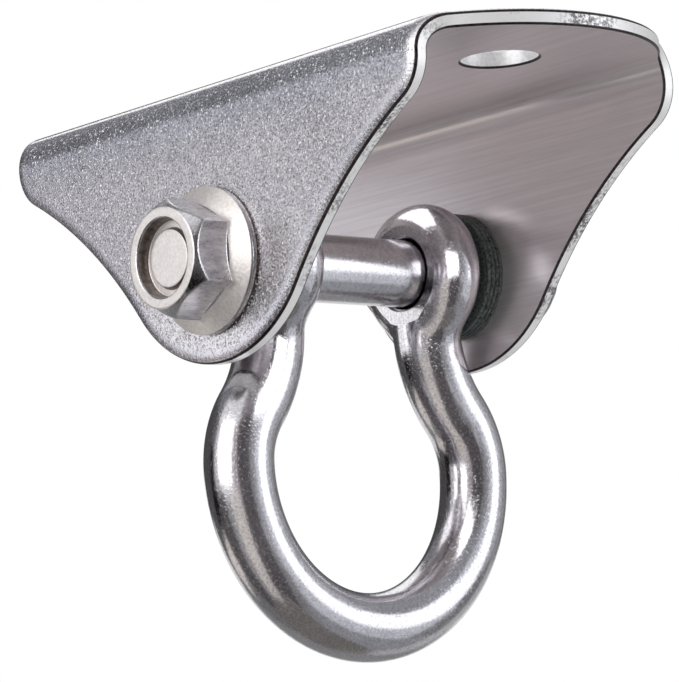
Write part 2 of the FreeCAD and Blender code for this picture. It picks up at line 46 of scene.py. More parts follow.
MM = 0.001
PIVOT_Z = -26.5

# Bracket
SHEET = 2.5
BEND_INSIDE = 3.0
HALF_WIDTH = 25.5
CHEEK_HALF = 44.5
END_TIP = 55.0
END_RADIUS = 28.5
END_FILLET = 6.0
SHOULDER_RADIUS = 6.5
FLANK_RADIUS = 75.0
FOOT_RADIUS = 21.5
FOOT_CENTRE_Z = -19.5
SCREW_RADIUS = 5.5
SCREW_Y = 35.0
PIVOT_HOLE_RADIUS = 5.25
EDGE_ROLL = (2.0, 0.8)
EDGE_BREAK = (0.3, 0.3)
# Strips of an edge's rounding, and how many of the outer ones carry a painted shade, a dark line along the
# edge.
ROUND_STEPS = 6
PAINTED_SHADE_STEPS = 2
# Lengths of the steps along the outline.
END_STEP = 0.9
HOLLOW_STEP = 0.4
SHOULDER_STEP = 0.5
FLANK_STEP = 1.0
FOOT_STEP = 0.6
HOLE_COLUMNS = 72
# Margins of the lines along a bend, and settings of the triangulation.
FOLD_BEFORE = 0.3
FOLD_AFTER = 0.01
WHOLE_HULL = 0
WELD = 1e-5
# Places of the bracket's finishes among its materials; one is a painted shade, a dark line along the edges.
FACE, CUT, INSIDE, BORDER, PAINTED_EDGE_LINE, HOLE = range(6)

# Bolt and nut
PIN_RADIUS = 5.0
FLAT_RADIUS = 7.5
CORNER_RADIUS = 2 * FLAT_RADIUS / math.sqrt(3)
CORNER_ROUND = 0.25
CORNER_CROWDING = 0.55
CHAMFER_ROUND = 0.22
LEAST_COSINE = 0.2
HEXAGON_MARGIN = 0.4
HEXAGON_STEP = 0.12
FLANGE_RADIUS = 10.5
FLANGE_RIM = 1.2
FLANGE_HEIGHT = 3.0
FLANGE_ROUND = 0.35
FLANGE_BLEND = 0.7
HEAD_FACE_X = -34.3
HEAD_FACE_RADIUS = 7.15
HEAD_CHAMFER = 1.9
HEAD_START = 0.05
RECESS_RADIUS = 5.65
RECESS_DEPTH = 2.0
RECESS_DRAFT = 0.25
RECESS_ROUND = 0.3
FLOOR_ROUND = 0.25
DISC_RADIUS = 4.1
DISC_RISE = 0.7
DISC_CROWN = 0.12
TURNED_ROUND = 0.2
BOLT_SIDE_COLUMNS = 28
NUT_SIDE_COLUMNS = 24
NUT_HEX_END = 33.7
NUT_END = 37.5
NUT_CHAMFER = 0.9
NUT_FACE_RADIUS = FLAT_RADIUS - 0.1
NUT_BORE = PIN_RADIUS + 0.1
NUT_COUNTERSINK = PIN_RADIUS + 0.3
COLLAR_RADIUS = 7.0
COLLAR_LIP = 0.8
COLLAR_MOUTH = PIN_RADIUS + COLLAR_LIP + 0.05
INSERT_START = 34.1
INSERT_END = 36.7
INSERT_RADIUS = 6.2
INSERT_BORE = PIN_RADIUS + 0.08
INSERT_ROUND = 0.4
INSERT_COLUMNS = 96
POCKET_GAP = 0.05
SEAT_GAP = 0.02
TAIL_END = 40.0
TAIL_CHAMFER = 1.0
TAIL_ROUND = 0.15
THREAD_START = 26.5
THREAD_PITCH = 1.5
THREAD_DEPTH = 0.75
THREAD_STEP = 0.1
# Places of the bolt's finishes among its materials, and where they meet; one of them is painted shade, in
# the recess and as a painted contact shadow on the flange's rim.
ON_BOLT, IN_PAINTED_SHADE, ON_FORGED, ON_FLAT = range(4)
# Painted contact shadow on the flange's rim: its height from the seat, and its depth in from the rim.
PAINTED_RIM_SHADOW = 0.55
RIM_WIDTH = 0.6
RECESS_LIP = 0.25
FACE_SKIN = 0.04
CONE_SKIN = 0.02
FLAT_MARGIN = 0.5
FLAT_LEAN = 0.25
FACING_OUT = 0.8
FINISH_MARGIN = 0.1

# Spacers
SPACER_RADIUS = 9.5
SPACER_INSIDE = 5.25
SPACER_WIDTH = 3.0
SPACER_OUTER_X = 23.0
SPACER_ROUND = 0.2
SPACER_COLUMNS = 128
RIB_PITCH = 0.8
RIB_DEPTH = 0.35
RIB_ROUND = 0.12
GROOVE_TOP = 0.2
GROOVE_FLOOR = 0.06
GROOVE_ROUND = 0.05

# Shackle
BAR_RADIUS = 5.0
EYE_X = 15.4
EYE_HALF = 4.3
EYE_RING = 6.181
EYE_ROUND = 4.419
EYE_TOP = EYE_RING + EYE_ROUND
EYE_BORE = 5.3
BORE_CHAMFER = 0.4
INNER_SPOT = 7.7
OUTER_SPOT = 10.0
BOW_RADIUS = 22.75
BOW_DEPTH = 29.5
SHOULDER = 14.0
FLARE = 20.0
NECK_BLEND = 2.6
SHACKLE_COLUMNS = 72
SKIN_REACH = 14.0
SKIN_HALVINGS = 40
SKIN_TOLERANCE = 0.05
SKIN_AGREEMENT = 0.8
SLOPE_STEP = 0.01
CUTTER_COLUMNS = 128
CUTTER_PAST = 4
SLIVER = 2e-6

# Meshes
LONGEST_CUT = 0.48
SHORTEST_CUT = 1e-4
ROUND_POINTS = 4
TINY = 1e-9
Y_AXIS = np.array([0.0, 1.0, 0.0])


def new_object(name, data):
    made = bpy.data.objects.new(name, data)
    bpy.context.scene.collection.objects.link(made)
    return made


def make_piece(name, points, faces, body, node):
    """Smooth mesh from points in millimetres; with a body, it rides on it and stands for a CAD node."""
    mesh = bpy.data.meshes.new(name)
    mesh.from_pydata((np.asarray(points, float) * MM).tolist(), [], faces)
    mesh.validate()
    mesh.polygons.foreach_set("use_smooth", [True] * len(mesh.polygons))
    piece = new_object(name, mesh)
    if body:
        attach(piece, body)
        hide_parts(node)
    return piece


def ring_faces(rows, columns, start=0):
    """Quads between successive closed rings of points."""
    return [
        (ring + c, ring + (c + 1) % columns, ring + columns + (c + 1) % columns, ring + columns + c)
        for ring in range(start, start + (rows - 1) * columns, columns)
        for c in range(columns)
    ]


def rounded(corners, radius):
    """Polyline with each inner corner rounded; corners are (x, r) or (x, r, radius of that corner)."""
    line = [corners[0][:2]]
    for before, here, after in zip(corners, corners[1:], corners[2:]):
        size = here[2] if len(here) > 2 else radius
        p, a, b = (np.array(q[:2], float) for q in (here, before, after))
        to_a, to_b = a - p, b - p
        length_a, length_b = np.linalg.norm(to_a), np.linalg.norm(to_b)
        to_a, to_b = to_a / length_a, to_b / length_b
        half = math.acos(max(-1, min(1, float(to_a @ to_b)))) / 2
        cut = min(size / math.tan(half), LONGEST_CUT * length_a, LONGEST_CUT * length_b)
        if cut < SHORTEST_CUT:
            line.append(tuple(p))
            continue
        first, last = p + to_a * cut, p + to_b * cut
        for step in range(ROUND_POINTS + 1):
            t = step / ROUND_POINTS
            line.append(tuple(first * (1 - t) ** 2 + 2 * p * t * (1 - t) + last * t ** 2))
    line.append(corners[-1][:2])
    return line


def subdivide(line, longest):
    """Polyline with no step longer than a length."""
    made = [line[0]]
    for a, b in zip(line, line[1:]):
        parts = max(1, math.ceil(math.dist(a, b) / longest))
        made += [tuple(np.array(a) + (np.array(b) - np.array(a)) * k / parts) for k in range(1, parts + 1)]
    return made


def angles(columns):
    return np.arange(columns) * 2 * math.pi / columns


def turned(name, profile, bearing, body, node, shape=None, closed=False):
    """Surface turned about the pivot axis. profile is (x, r) points; shape may change the radii.

    The profile starts and ends on the axis, or is closed on itself.
    """
    profile = np.array(profile, float)
    columns = len(bearing)
    ends = 0 if closed else 1
    rows = profile[ends:len(profile) - ends]
    x = np.repeat(rows[:, :1], columns, axis=1)
    r = np.repeat(rows[:, 1:], columns, axis=1)
    if shape:
        r = shape(x, r, bearing[None, :])
    points = np.stack([x, r * np.cos(bearing), PIVOT_Z + r * np.sin(bearing)], axis=-1)
    points = points.reshape(-1, 3).tolist()
    count = len(rows)
    faces = ring_faces(count, columns)
    if closed:
        last = (count - 1) * columns
        faces += [(last + c, last + (c + 1) % columns, (c + 1) % columns, c) for c in range(columns)]
    else:
        for pole, row, flip in ((profile[0], 0, True), (profile[-1], count - 1, False)):
            points.append([pole[0], 0, PIVOT_Z])
            hub = len(points) - 1
            for c in range(columns):
                a, b = row * columns + c, row * columns + (c + 1) % columns
                faces.append((b, a, hub) if flip else (a, b, hub))
    piece = make_piece(name, points, faces, body, node)
    face_outwards(piece)
    return piece


def face_outwards(piece):
    work = bmesh.new()
    work.from_mesh(piece.data)
    bmesh.ops.recalc_face_normals(work, faces=work.faces)
    work.to_mesh(piece.data)
    work.free()


def soft_min(a, b, width):
    """Smaller of two values, rounded where they are closer than width."""
    h = np.clip(width - np.abs(a - b), 0, None)
    return np.minimum(a, b) - h * h / (4 * np.maximum(width, TINY))


def soft_max(a, b, width):
    return -soft_min(-a, -b, width)


def hexagon_radius(bearing):
    """Radius of the hexagon at a bearing, with its corners rounded; flats face +Y and -Y."""
    turns = np.stack([
        FLAT_RADIUS / np.maximum(np.cos(bearing - k * math.pi / 3), LEAST_COSINE) for k in range(6)
    ])
    turns.sort(axis=0)
    return soft_min(turns[0], turns[1], CORNER_ROUND)


def hexagon_bearings(per_side):
    """Bearings that crowd towards the hexagon's corners."""
    u = np.arange(per_side) / per_side
    side = u - CORNER_CROWDING * np.sin(2 * math.pi * u) / (2 * math.pi)
    return np.concatenate([math.pi / 6 + (k + side) * math.pi / 3 for k in range(6)])


# Bracket: the flat blank is triangulated, given rounded edges, and folded.

BEND_MIDDLE = BEND_INSIDE + SHEET / 2
PLATE_HALF = HALF_WIDTH - BEND_INSIDE - SHEET
BEND_LENGTH = BEND_MIDDLE * math.pi / 2
BEND_END = PLATE_HALF + BEND_LENGTH
CHEEK_TOP_Z = -(BEND_INSIDE + SHEET)


def fold(u, y, h):
    """Folded place of a point of the blank, with the sheet's normal and its direction across the blank.

    u runs across the blank from its middle, y along it, and h is the height over the middle of the sheet.
    """
    side = np.where(u < 0, -1.0, 1.0)
    across = np.abs(u)
    turn = np.clip((across - PLATE_HALF) / BEND_MIDDLE, 0, math.pi / 2)
    flat = np.minimum(across, PLATE_HALF)
    drop = np.maximum(across - PLATE_HALF - BEND_LENGTH, 0)
    x = side * (flat + (BEND_MIDDLE + h) * np.sin(turn))
    z = CHEEK_TOP_Z + (BEND_MIDDLE + h) * np.cos(turn) - drop
    zero = np.zeros_like(u)
    normal = np.stack([side * np.sin(turn), zero, np.cos(turn)], axis=-1)
    tangent = np.stack([np.cos(turn), zero, -side * np.sin(turn)], axis=-1)
    return np.stack([x, y, z], axis=-1), normal, tangent


def arc_points(centre, radius, first, last, step):
    count = max(2, math.ceil(abs(last - first) * radius / step))
    return [
        (centre[0] + radius * math.cos(t), centre[1] + radius * math.sin(t))
        for t in np.linspace(first, last, count + 1)
    ]


def bearing_to(start, end):
    return math.atan2(*(end - start)[::-1])


def plate_end():
    """Outline of half of the plate's end, from its tip to where the bend meets the cheek."""
    end_bow = END_TIP - CHEEK_HALF
    reach = END_RADIUS + END_FILLET
    fillet_x = math.sqrt(end_bow * (2 * reach - end_bow))
    touch = math.atan2(fillet_x, reach - end_bow)
    down = -math.pi / 2
    end = arc_points((0, END_TIP - END_RADIUS), END_RADIUS, -down, -down - touch, END_STEP)
    hollow = (fillet_x, CHEEK_HALF + END_FILLET)
    end += arc_points(hollow, END_FILLET, down - touch, down, HOLLOW_STEP)[1:]
    # The hollow is stretched until its far end lies where the bend meets the cheek.
    return [
        (x if x < PLATE_HALF else PLATE_HALF + (x - PLATE_HALF) * BEND_LENGTH / (fillet_x - PLATE_HALF), y)
        for x, y in end
    ]


def blank_quarter():
    """Outline of the blank's quarter with positive u and y, from the tip of the plate's end to the foot.

    The cheek's edge is a shoulder, a hollow flank and a foot, each tangent to the next.
    """
    foot = np.array([0.0, FOOT_CENTRE_Z])
    shoulder = np.array([CHEEK_HALF - SHOULDER_RADIUS, CHEEK_TOP_Z])
    apart = shoulder - foot
    distance = np.linalg.norm(apart)
    to_foot = FOOT_RADIUS + FLANK_RADIUS
    to_shoulder = SHOULDER_RADIUS + FLANK_RADIUS
    along = (to_foot ** 2 - to_shoulder ** 2 + distance ** 2) / (2 * distance)
    across = math.sqrt(to_foot ** 2 - along ** 2)
    direction = apart / distance
    flank = foot + direction * along + np.array([direction[1], -direction[0]]) * across
    cheek = arc_points(shoulder, SHOULDER_RADIUS, 0, bearing_to(shoulder, flank), SHOULDER_STEP)[1:]
    cheek += arc_points(
        flank, FLANK_RADIUS, bearing_to(flank, shoulder), bearing_to(flank, foot), FLANK_STEP)[1:]
    cheek += arc_points(foot, FOOT_RADIUS, bearing_to(foot, flank), -math.pi / 2, FOOT_STEP)[1:]
    return plate_end() + [(BEND_END + CHEEK_TOP_Z - z, y) for y, z in cheek]


def loop_normals(loop):
    """Outward normals of a closed anticlockwise loop."""
    ahead = np.roll(loop, -1, axis=0) - loop
    ahead /= np.linalg.norm(ahead, axis=1)[:, None]
    mean = ahead + np.roll(ahead, 1, axis=0)
    mean /= np.linalg.norm(mean, axis=1)[:, None]
    return np.stack([mean[:, 1], -mean[:, 0]], axis=1)


def edge_rings(outer, inner):
    """Rings from the outer face over an edge to the inner face: inset, height, and the normal's two parts.

    outer and inner give how far each rounding reaches along the face and down the edge.
    """
    rings = []
    for side, (reach, depth) in ((1, outer), (-1, inner)):
        half = []
        for turn in np.linspace(0, math.pi / 2, ROUND_STEPS + 1):
            inset = reach * (1 - math.sin(turn))
            height = side * (SHEET / 2 - depth * (1 - math.cos(turn)))
            level, sideways = math.cos(turn) / depth, math.sin(turn) / reach
            length = math.hypot(level, sideways)
            half.append((inset, height, side * level / length, sideways / length))
        rings += half if side == 1 else half[::-1]
    if inner[0] < outer[0]:
        rings.append((outer[0], -SHEET / 2, -1.0, 0.0))
    return rings


def rim_finish(strip, is_hole):
    """Finish of a strip of an edge, counted from the outer face."""
    if strip > 2 * ROUND_STEPS:
        return INSIDE
    # Strips next to the cut edge, on the inner rounding and the last of the outer one, take a painted
    # shade, a dark line.
    if strip > ROUND_STEPS:
        return PAINTED_EDGE_LINE
    if is_hole:
        return HOLE
    if strip == ROUND_STEPS:
        return CUT
    return BORDER if strip < ROUND_STEPS - PAINTED_SHADE_STEPS else PAINTED_EDGE_LINE


def flat_cells(loops, folds):
    """Triangles between the innermost rings of the loops; a corner is a loop's number and its point's.

    folds joins points of the first loop, so that no triangle crosses the bends askew.
    """
    flat, index, segments, borders = [], [], [], []
    for number, (loop, outward, rim) in enumerate(loops):
        base = len(flat)
        count = len(loop)
        inner_ring = loop - outward * rim[0][0]
        borders.append(inner_ring)
        flat += inner_ring.tolist()
        index += [(number, k) for k in range(count)]
        segments += [(base + k, base + (k + 1) % count) for k in range(count)]
    made = delaunay_2d_cdt([Vector(p) for p in flat], segments + folds, [], WHOLE_HULL, WELD)
    places, cells, source = made[0], made[2], made[3]
    corners = []
    for cell in cells:
        middle = np.mean([places[k] for k in cell], axis=0)
        if inside(borders[0], middle) and not any(inside(border, middle) for border in borders[1:]):
            corners.append([index[source[k][0]] for k in cell])
    return corners


def inside(polygon, point):
    x, y = point
    ax, ay = polygon[:, 0], polygon[:, 1]
    bx, by = np.roll(ax, -1), np.roll(ay, -1)
    crossing = (ay > y) != (by > y)
    with np.errstate(divide="ignore", invalid="ignore"):
        where = ax + (y - ay) / (by - ay) * (bx - ax)
    return bool(np.sum(crossing & (x < where)) % 2)


def make_bracket():
    quarter = np.array(blank_quarter())
    upper = np.concatenate([quarter[::-1], (quarter * [-1, 1])[1:]])
    outline = np.concatenate([upper, (upper * [1, -1])[::-1][1:-1]])
    around = angles(HOLE_COLUMNS)
    circle = np.stack([np.cos(around), np.sin(around)], axis=1)
    pivot_u = BEND_END + CHEEK_TOP_Z - PIVOT_Z
    holes = [
        (0.0, SCREW_Y, SCREW_RADIUS), (0.0, -SCREW_Y, SCREW_RADIUS),
        (pivot_u, 0.0, PIVOT_HOLE_RADIUS), (-pivot_u, 0.0, PIVOT_HOLE_RADIUS),
    ]
    loops = [(outline, loop_normals(outline), edge_rings(EDGE_ROLL, EDGE_BREAK))]
    hole_rim = edge_rings(EDGE_BREAK, EDGE_BREAK)
    loops += [(circle * radius + [u, y], -circle, hole_rim) for u, y, radius in holes]

    points, normals, starts = [], [], []
    total = 0
    for loop, outward, rim in loops:
        rings = []
        for inset, height, level, sideways in rim:
            flat = loop - outward * inset
            place, face, across = fold(flat[:, 0], flat[:, 1], np.full(len(flat), height))
            edge = across * outward[:, :1] + Y_AXIS * outward[:, 1:]
            normals.append(face * level + edge * sideways)
            points.append(place)
            rings.append(total)
            total += len(flat)
        starts.append(rings)

    faces, finish = [], []
    for number, ((loop, _, rim), rings) in enumerate(zip(loops, starts)):
        faces += ring_faces(len(rim), len(loop), rings[0])
        for strip in range(len(rim) - 1):
            finish += [rim_finish(strip, number > 0)] * len(loop)
    folds = [
        (k, len(outline) - k) for k in range(1, len(upper) - 1)
        if PLATE_HALF - FOLD_BEFORE <= abs(outline[k][0]) <= BEND_END + FOLD_AFTER
    ]
    for corner in flat_cells(loops, folds):
        faces.append([starts[n][0] + k for n, k in corner])
        faces.append([starts[n][-1] + k for n, k in corner][::-1])
        finish += [FACE, INSIDE]

    piece = make_piece(
        "bracket_sheet", np.concatenate(points), faces, "hanger", "bracket")
    piece.data.polygons.foreach_set("material_index", finish)
    face_outwards(piece)
    piece.data.normals_split_custom_set_from_vertices(np.concatenate(normals).tolist())
    return piece


# Shackle: rings round the bar's middle line reach out to a field that blends the bar into its eyes.

FLARE_REACH = EYE_X + FLARE - (BOW_RADIUS - SHOULDER)
FLARE_Z = -BOW_DEPTH + math.sqrt((SHOULDER + FLARE) ** 2 - FLARE_REACH ** 2)
FLARE_SWING = math.atan2(FLARE_Z + BOW_DEPTH, FLARE_REACH)


def arc_distance(x, z, y, centre, radius, first, last):
    """Distance to an arc in the plane y = 0; first and last are bearings in rising order."""
    dx, dz = x - centre[0], z - centre[1]
    bearing = np.mod(np.arctan2(dz, dx) - first, 2 * math.pi)
    on_arc = bearing <= last - first
    away = np.hypot(np.hypot(dx, dz) - radius, y)
    ends = [
        np.sqrt((dx - radius * math.cos(t)) ** 2 + (dz - radius * math.sin(t)) ** 2 + y ** 2)
        for t in (first, last)
    ]
    return np.where(on_arc, away, np.minimum(*ends))


def shackle_field(p):
    """Negative inside the shackle before it is faced and bored; p is relative to the pivot."""
    x, y, z = np.abs(p[..., 0]), p[..., 1], p[..., 2]
    leg = np.sqrt((x - EYE_X) ** 2 + y ** 2 + (z - np.clip(z, FLARE_Z, 0)) ** 2)
    flare = arc_distance(x, z, y, (EYE_X + FLARE, FLARE_Z), FLARE, math.pi, math.pi + FLARE_SWING)
    shoulder = arc_distance(x, z, y, (BOW_RADIUS - SHOULDER, -BOW_DEPTH), SHOULDER, 0, FLARE_SWING)
    bow = arc_distance(x, z, y, (0, -BOW_DEPTH), BOW_RADIUS, math.pi, 2 * math.pi)
    bar = np.minimum(np.minimum(leg, flare), np.minimum(shoulder, bow)) - BAR_RADIUS
    past_ring = np.maximum(np.hypot(y, z) - EYE_RING, 0)
    eye = np.hypot(past_ring, x - EYE_X) - EYE_ROUND
    sideways = y ** 2 / (y ** 2 + (x - EYE_X) ** 2 + TINY)
    return soft_min(bar, eye, NECK_BLEND * sideways)


def arc_stations(centre_x, centre_z, radius, bearings):
    return [
        (centre_x + radius * math.cos(t), centre_z + radius * math.sin(t), math.cos(t), math.sin(t))
        for t in bearings
    ]


def shackle_stations():
    """Points of the middle line with its outward direction, from the top of one eye to the other."""
    stations = [(EYE_X, EYE_TOP * math.sin(t), 1.0, 0.0) for t in np.radians(np.arange(86, -1, -4))]
    stations += [(EYE_X, z, 1.0, 0.0) for z in np.linspace(0, FLARE_Z, 16)[1:]]
    stations += arc_stations(EYE_X + FLARE, FLARE_Z, -FLARE, np.linspace(0, FLARE_SWING, 22)[1:])
    stations += arc_stations(
        BOW_RADIUS - SHOULDER, -BOW_DEPTH, SHOULDER, np.linspace(FLARE_SWING, 0, 16)[1:])
    stations += arc_stations(0, -BOW_DEPTH, BOW_RADIUS, np.linspace(0, -math.pi / 2, 48)[1:])
    stations += [(-x, z, -nx, nz) for x, z, nx, nz in stations[-2::-1]]
    return np.array(stations)


def shackle_skin():
    """Closed mesh of the shackle before it is faced and bored."""
    columns = SHACKLE_COLUMNS
    stations = shackle_stations()
    bearing = angles(columns)[None, :, None]
    level = np.zeros(len(stations))
    middle = np.stack([stations[:, 0], level, stations[:, 1]], axis=1)[:, None, :]
    out = np.stack([stations[:, 2], level, stations[:, 3]], axis=1)[:, None, :]
    ray = out * np.cos(bearing) + Y_AXIS * np.sin(bearing)
    near = np.zeros(ray.shape[:2])
    far = np.full(ray.shape[:2], SKIN_REACH)
    for _ in range(SKIN_HALVINGS):
        half = (near + far) / 2
        within = shackle_field(middle + ray * half[..., None]) < 0
        near, far = np.where(within, half, near), np.where(within, far, half)
    skin = (middle + ray * near[..., None]).reshape(-1, 3)
    faces = ring_faces(len(stations), columns)
    last = (len(stations) - 1) * columns
    for c in range(columns):
        n = (c + 1) % columns
        faces.append((n, c, len(skin)))
        faces.append((last + c, last + n, len(skin) + 1))
    points = np.concatenate([skin, [[EYE_X, 0, EYE_TOP], [-EYE_X, 0, EYE_TOP]]]) + [0, 0, PIVOT_Z]
    piece = make_piece("bow_shackle", points, faces, None, None)
    face_outwards(piece)
    return piece


def cut_eyes(piece):
    """Cut each eye's two faces and its chamfered bore with one turned cutter."""
    inner, outer = EYE_X - EYE_HALF, EYE_X + EYE_HALF
    mouth = EYE_BORE + BORE_CHAMFER
    cutter_line = [
        (inner - CUTTER_PAST, 0), (inner - CUTTER_PAST, INNER_SPOT), (inner, INNER_SPOT), (inner, mouth),
        (inner + BORE_CHAMFER, EYE_BORE), (outer - BORE_CHAMFER, EYE_BORE), (outer, mouth),
        (outer, OUTER_SPOT), (outer + CUTTER_PAST, OUTER_SPOT), (outer + CUTTER_PAST, 0),
    ]
    for side in (1, -1):
        line = [(side * x, r) for x, r in cutter_line]
        cutter = turned("eye_cutter", line, angles(CUTTER_COLUMNS), None, None)
        cut = piece.modifiers.new("eye_cut", "BOOLEAN")
        cut.operation = "DIFFERENCE"
        cut.solver = "EXACT"
        cut.object = cutter
        apply_modifiers(piece)
        bpy.data.objects.remove(cutter)
    work = bmesh.new()
    work.from_mesh(piece.data)
    bmesh.ops.dissolve_degenerate(work, dist=SLIVER, edges=work.edges)
    work.to_mesh(piece.data)
    work.free()


def apply_modifiers(piece):
    shown = piece.evaluated_get(bpy.context.evaluated_depsgraph_get())
    mesh = bpy.data.meshes.new_from_object(shown)
    piece.modifiers.clear()
    old = piece.data
    piece.data = mesh
    bpy.data.meshes.remove(old)


def shackle_normals(mesh):
    """Normals of the mesh's corners: the field's slope on the skin, turned ones where the eyes are cut."""
    normals = np.zeros((len(mesh.loops), 3))
    places = np.array([v.co for v in mesh.vertices]) / MM - [0, 0, PIVOT_Z]
    slopes = np.stack([
        shackle_field(places + step) - shackle_field(places - step) for step in np.eye(3) * SLOPE_STEP
    ], axis=1)
    slopes /= np.maximum(np.linalg.norm(slopes, axis=1), TINY)[:, None]
    centres = np.array([p.center for p in mesh.polygons]) / MM - [0, 0, PIVOT_Z]
    on_skin = np.abs(shackle_field(centres)) < SKIN_TOLERANCE
    for polygon, skin_face in zip(mesh.polygons, on_skin):
        for loop in polygon.loop_indices:
            vertex = mesh.loops[loop].vertex_index
            if skin_face and np.dot(slopes[vertex], polygon.normal) > SKIN_AGREEMENT:
                normals[loop] = slopes[vertex]
                continue
            along = polygon.normal.x
            around = np.array([0.0, *places[vertex][1:]])
            around /= max(np.linalg.norm(around), TINY)
            radial = math.sqrt(max(0.0, 1 - along ** 2))
            outward = 1 if np.dot(np.array(polygon.normal), around) > 0 else -1
            normals[loop] = np.array([along, 0, 0]) + around * (radial * outward)
    return normals


def make_shackle():
    piece = shackle_skin()
    cut_eyes(piece)
    mesh = piece.data
    normals = shackle_normals(mesh)
    mesh.polygons.foreach_set("use_smooth", [True] * len(mesh.polygons))
    mesh.normals_split_custom_set(normals.tolist())
    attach(piece, "bow")
    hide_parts("shackle")
    return piece


# Bolt and nut: turned profiles whose radii follow a chamfered hexagon over a cone flange.

def head_shape(face_x, face_radius, chamfer, seat_x, inner, outer):
    """Radius function of a hexagon between inner and outer (x), chamfered at face_x, over a flange."""
    away = 1 if face_x > seat_x else -1
    slope = (FLANGE_RADIUS - FLAT_RADIUS) / (FLANGE_HEIGHT - FLANGE_RIM)

    def shape(x, r, bearing):
        depth = (face_x - x) * away
        cone = face_radius + depth * (CORNER_RADIUS - face_radius) / chamfer
        height = (x - seat_x) * away
        flange = np.minimum(FLAT_RADIUS + (FLANGE_HEIGHT - height) * slope, FLANGE_RADIUS)
        head = soft_min(hexagon_radius(bearing), cone, CHAMFER_ROUND)
        whole = soft_max(head, flange, FLANGE_BLEND)
        chosen = (x > min(inner, outer)) & (x < max(inner, outer)) & (r > FLAT_RADIUS - HEXAGON_MARGIN)
        return np.where(chosen, whole, r)
    return shape


def bolt_finish(x, r, along):
    """Finish of the bolt at a place; along is the part of its normal along the axis."""
    seat = -HALF_WIDTH
    floor = HEAD_FACE_X + RECESS_DEPTH
    # The recess walls are painted dark, a painted shade; the disc and the floor ring keep the forged
    # finish.
    if HEAD_FACE_X + RECESS_LIP < x < floor + FINISH_MARGIN and r < RECESS_RADIUS:
        return ON_FORGED if r < DISC_RADIUS - FINISH_MARGIN or along < -FACING_OUT else IN_PAINTED_SHADE
    # A painted contact shadow: the flange's rim is dark for a strip next to the seat.
    if seat - PAINTED_RIM_SHADOW < x < seat + FINISH_MARGIN and r > FLANGE_RADIUS - RIM_WIDTH:
        return IN_PAINTED_SHADE
    if x < HEAD_FACE_X + FACE_SKIN and r > RECESS_RADIUS:
        return ON_FORGED
    if x < seat - FLANGE_RIM and r > FLAT_RADIUS - FLAT_MARGIN and abs(along) < FLAT_LEAN:
        return ON_FLAT
    if seat - FLANGE_HEIGHT < x < seat - FLANGE_RIM + CONE_SKIN and r > FLAT_RADIUS:
        return ON_FORGED
    return ON_BOLT


def make_bolt():
    seat = -HALF_WIDTH
    rim_x = seat - FLANGE_RIM
    floor = HEAD_FACE_X + RECESS_DEPTH
    disc = floor - DISC_RISE
    tail_x = TAIL_END - TAIL_CHAMFER
    hexagon_x = HEAD_FACE_X + HEAD_START
    head = rounded([
        (disc - DISC_CROWN, 0.0), (disc, DISC_RADIUS, RECESS_ROUND), (floor, DISC_RADIUS + RECESS_DRAFT),
        (floor, RECESS_RADIUS - RECESS_DRAFT, FLOOR_ROUND), (HEAD_FACE_X, RECESS_RADIUS, RECESS_ROUND),
        (HEAD_FACE_X, HEAD_FACE_RADIUS, 0), (hexagon_x, HEAD_FACE_RADIUS + HEAD_START),
    ], TURNED_ROUND)
    hexagon = [(x, FLAT_RADIUS) for x in np.arange(HEAD_FACE_X + 0.1, rim_x - 0.02, HEXAGON_STEP)]
    rim = rounded([
        (rim_x, FLANGE_RADIUS), (seat, FLANGE_RADIUS, FLANGE_ROUND), (seat, PIN_RADIUS + 0.1, 0.1),
        (seat + 0.6, PIN_RADIUS), (THREAD_START, PIN_RADIUS),
    ], TURNED_ROUND)
    thread = [(x, PIN_RADIUS) for x in np.arange(THREAD_START + THREAD_STEP, tail_x, THREAD_STEP)]
    tail = rounded([
        (tail_x, PIN_RADIUS), (TAIL_END, PIN_RADIUS - TAIL_CHAMFER), (TAIL_END, 0.0),
    ], TAIL_ROUND)
    profile = subdivide(head, 0.4)[:-1] + hexagon + subdivide(rim, 1.2) + thread + subdivide(tail, 0.12)
    hexagonal = head_shape(HEAD_FACE_X, HEAD_FACE_RADIUS, HEAD_CHAMFER, seat, hexagon_x, rim_x - 0.01)

    def shape(x, r, bearing):
        r = hexagonal(x, r, bearing)
        turn = np.mod(x / THREAD_PITCH - bearing / (2 * math.pi), 1)
        groove = THREAD_DEPTH * np.clip(1.25 - 4 * np.abs(turn - 0.5), 0, 1)
        ease = np.clip((x - THREAD_START) / THREAD_PITCH, 0, 1)
        threaded = np.minimum(r, PIN_RADIUS - groove * ease)
        return np.where((x > THREAD_START) & (r > PIN_RADIUS / 2), threaded, r)

    bearings = hexagon_bearings(BOLT_SIDE_COLUMNS)
    piece = turned("pivot_bolt_turned", profile, bearings, "hanger", "pivot_bolt", shape)
    for polygon in piece.data.polygons:
        x = polygon.center.x / MM
        r = math.hypot(polygon.center.y, polygon.center.z - PIVOT_Z * MM) / MM
        polygon.material_index = bolt_finish(x, r, polygon.normal.x)
    return piece


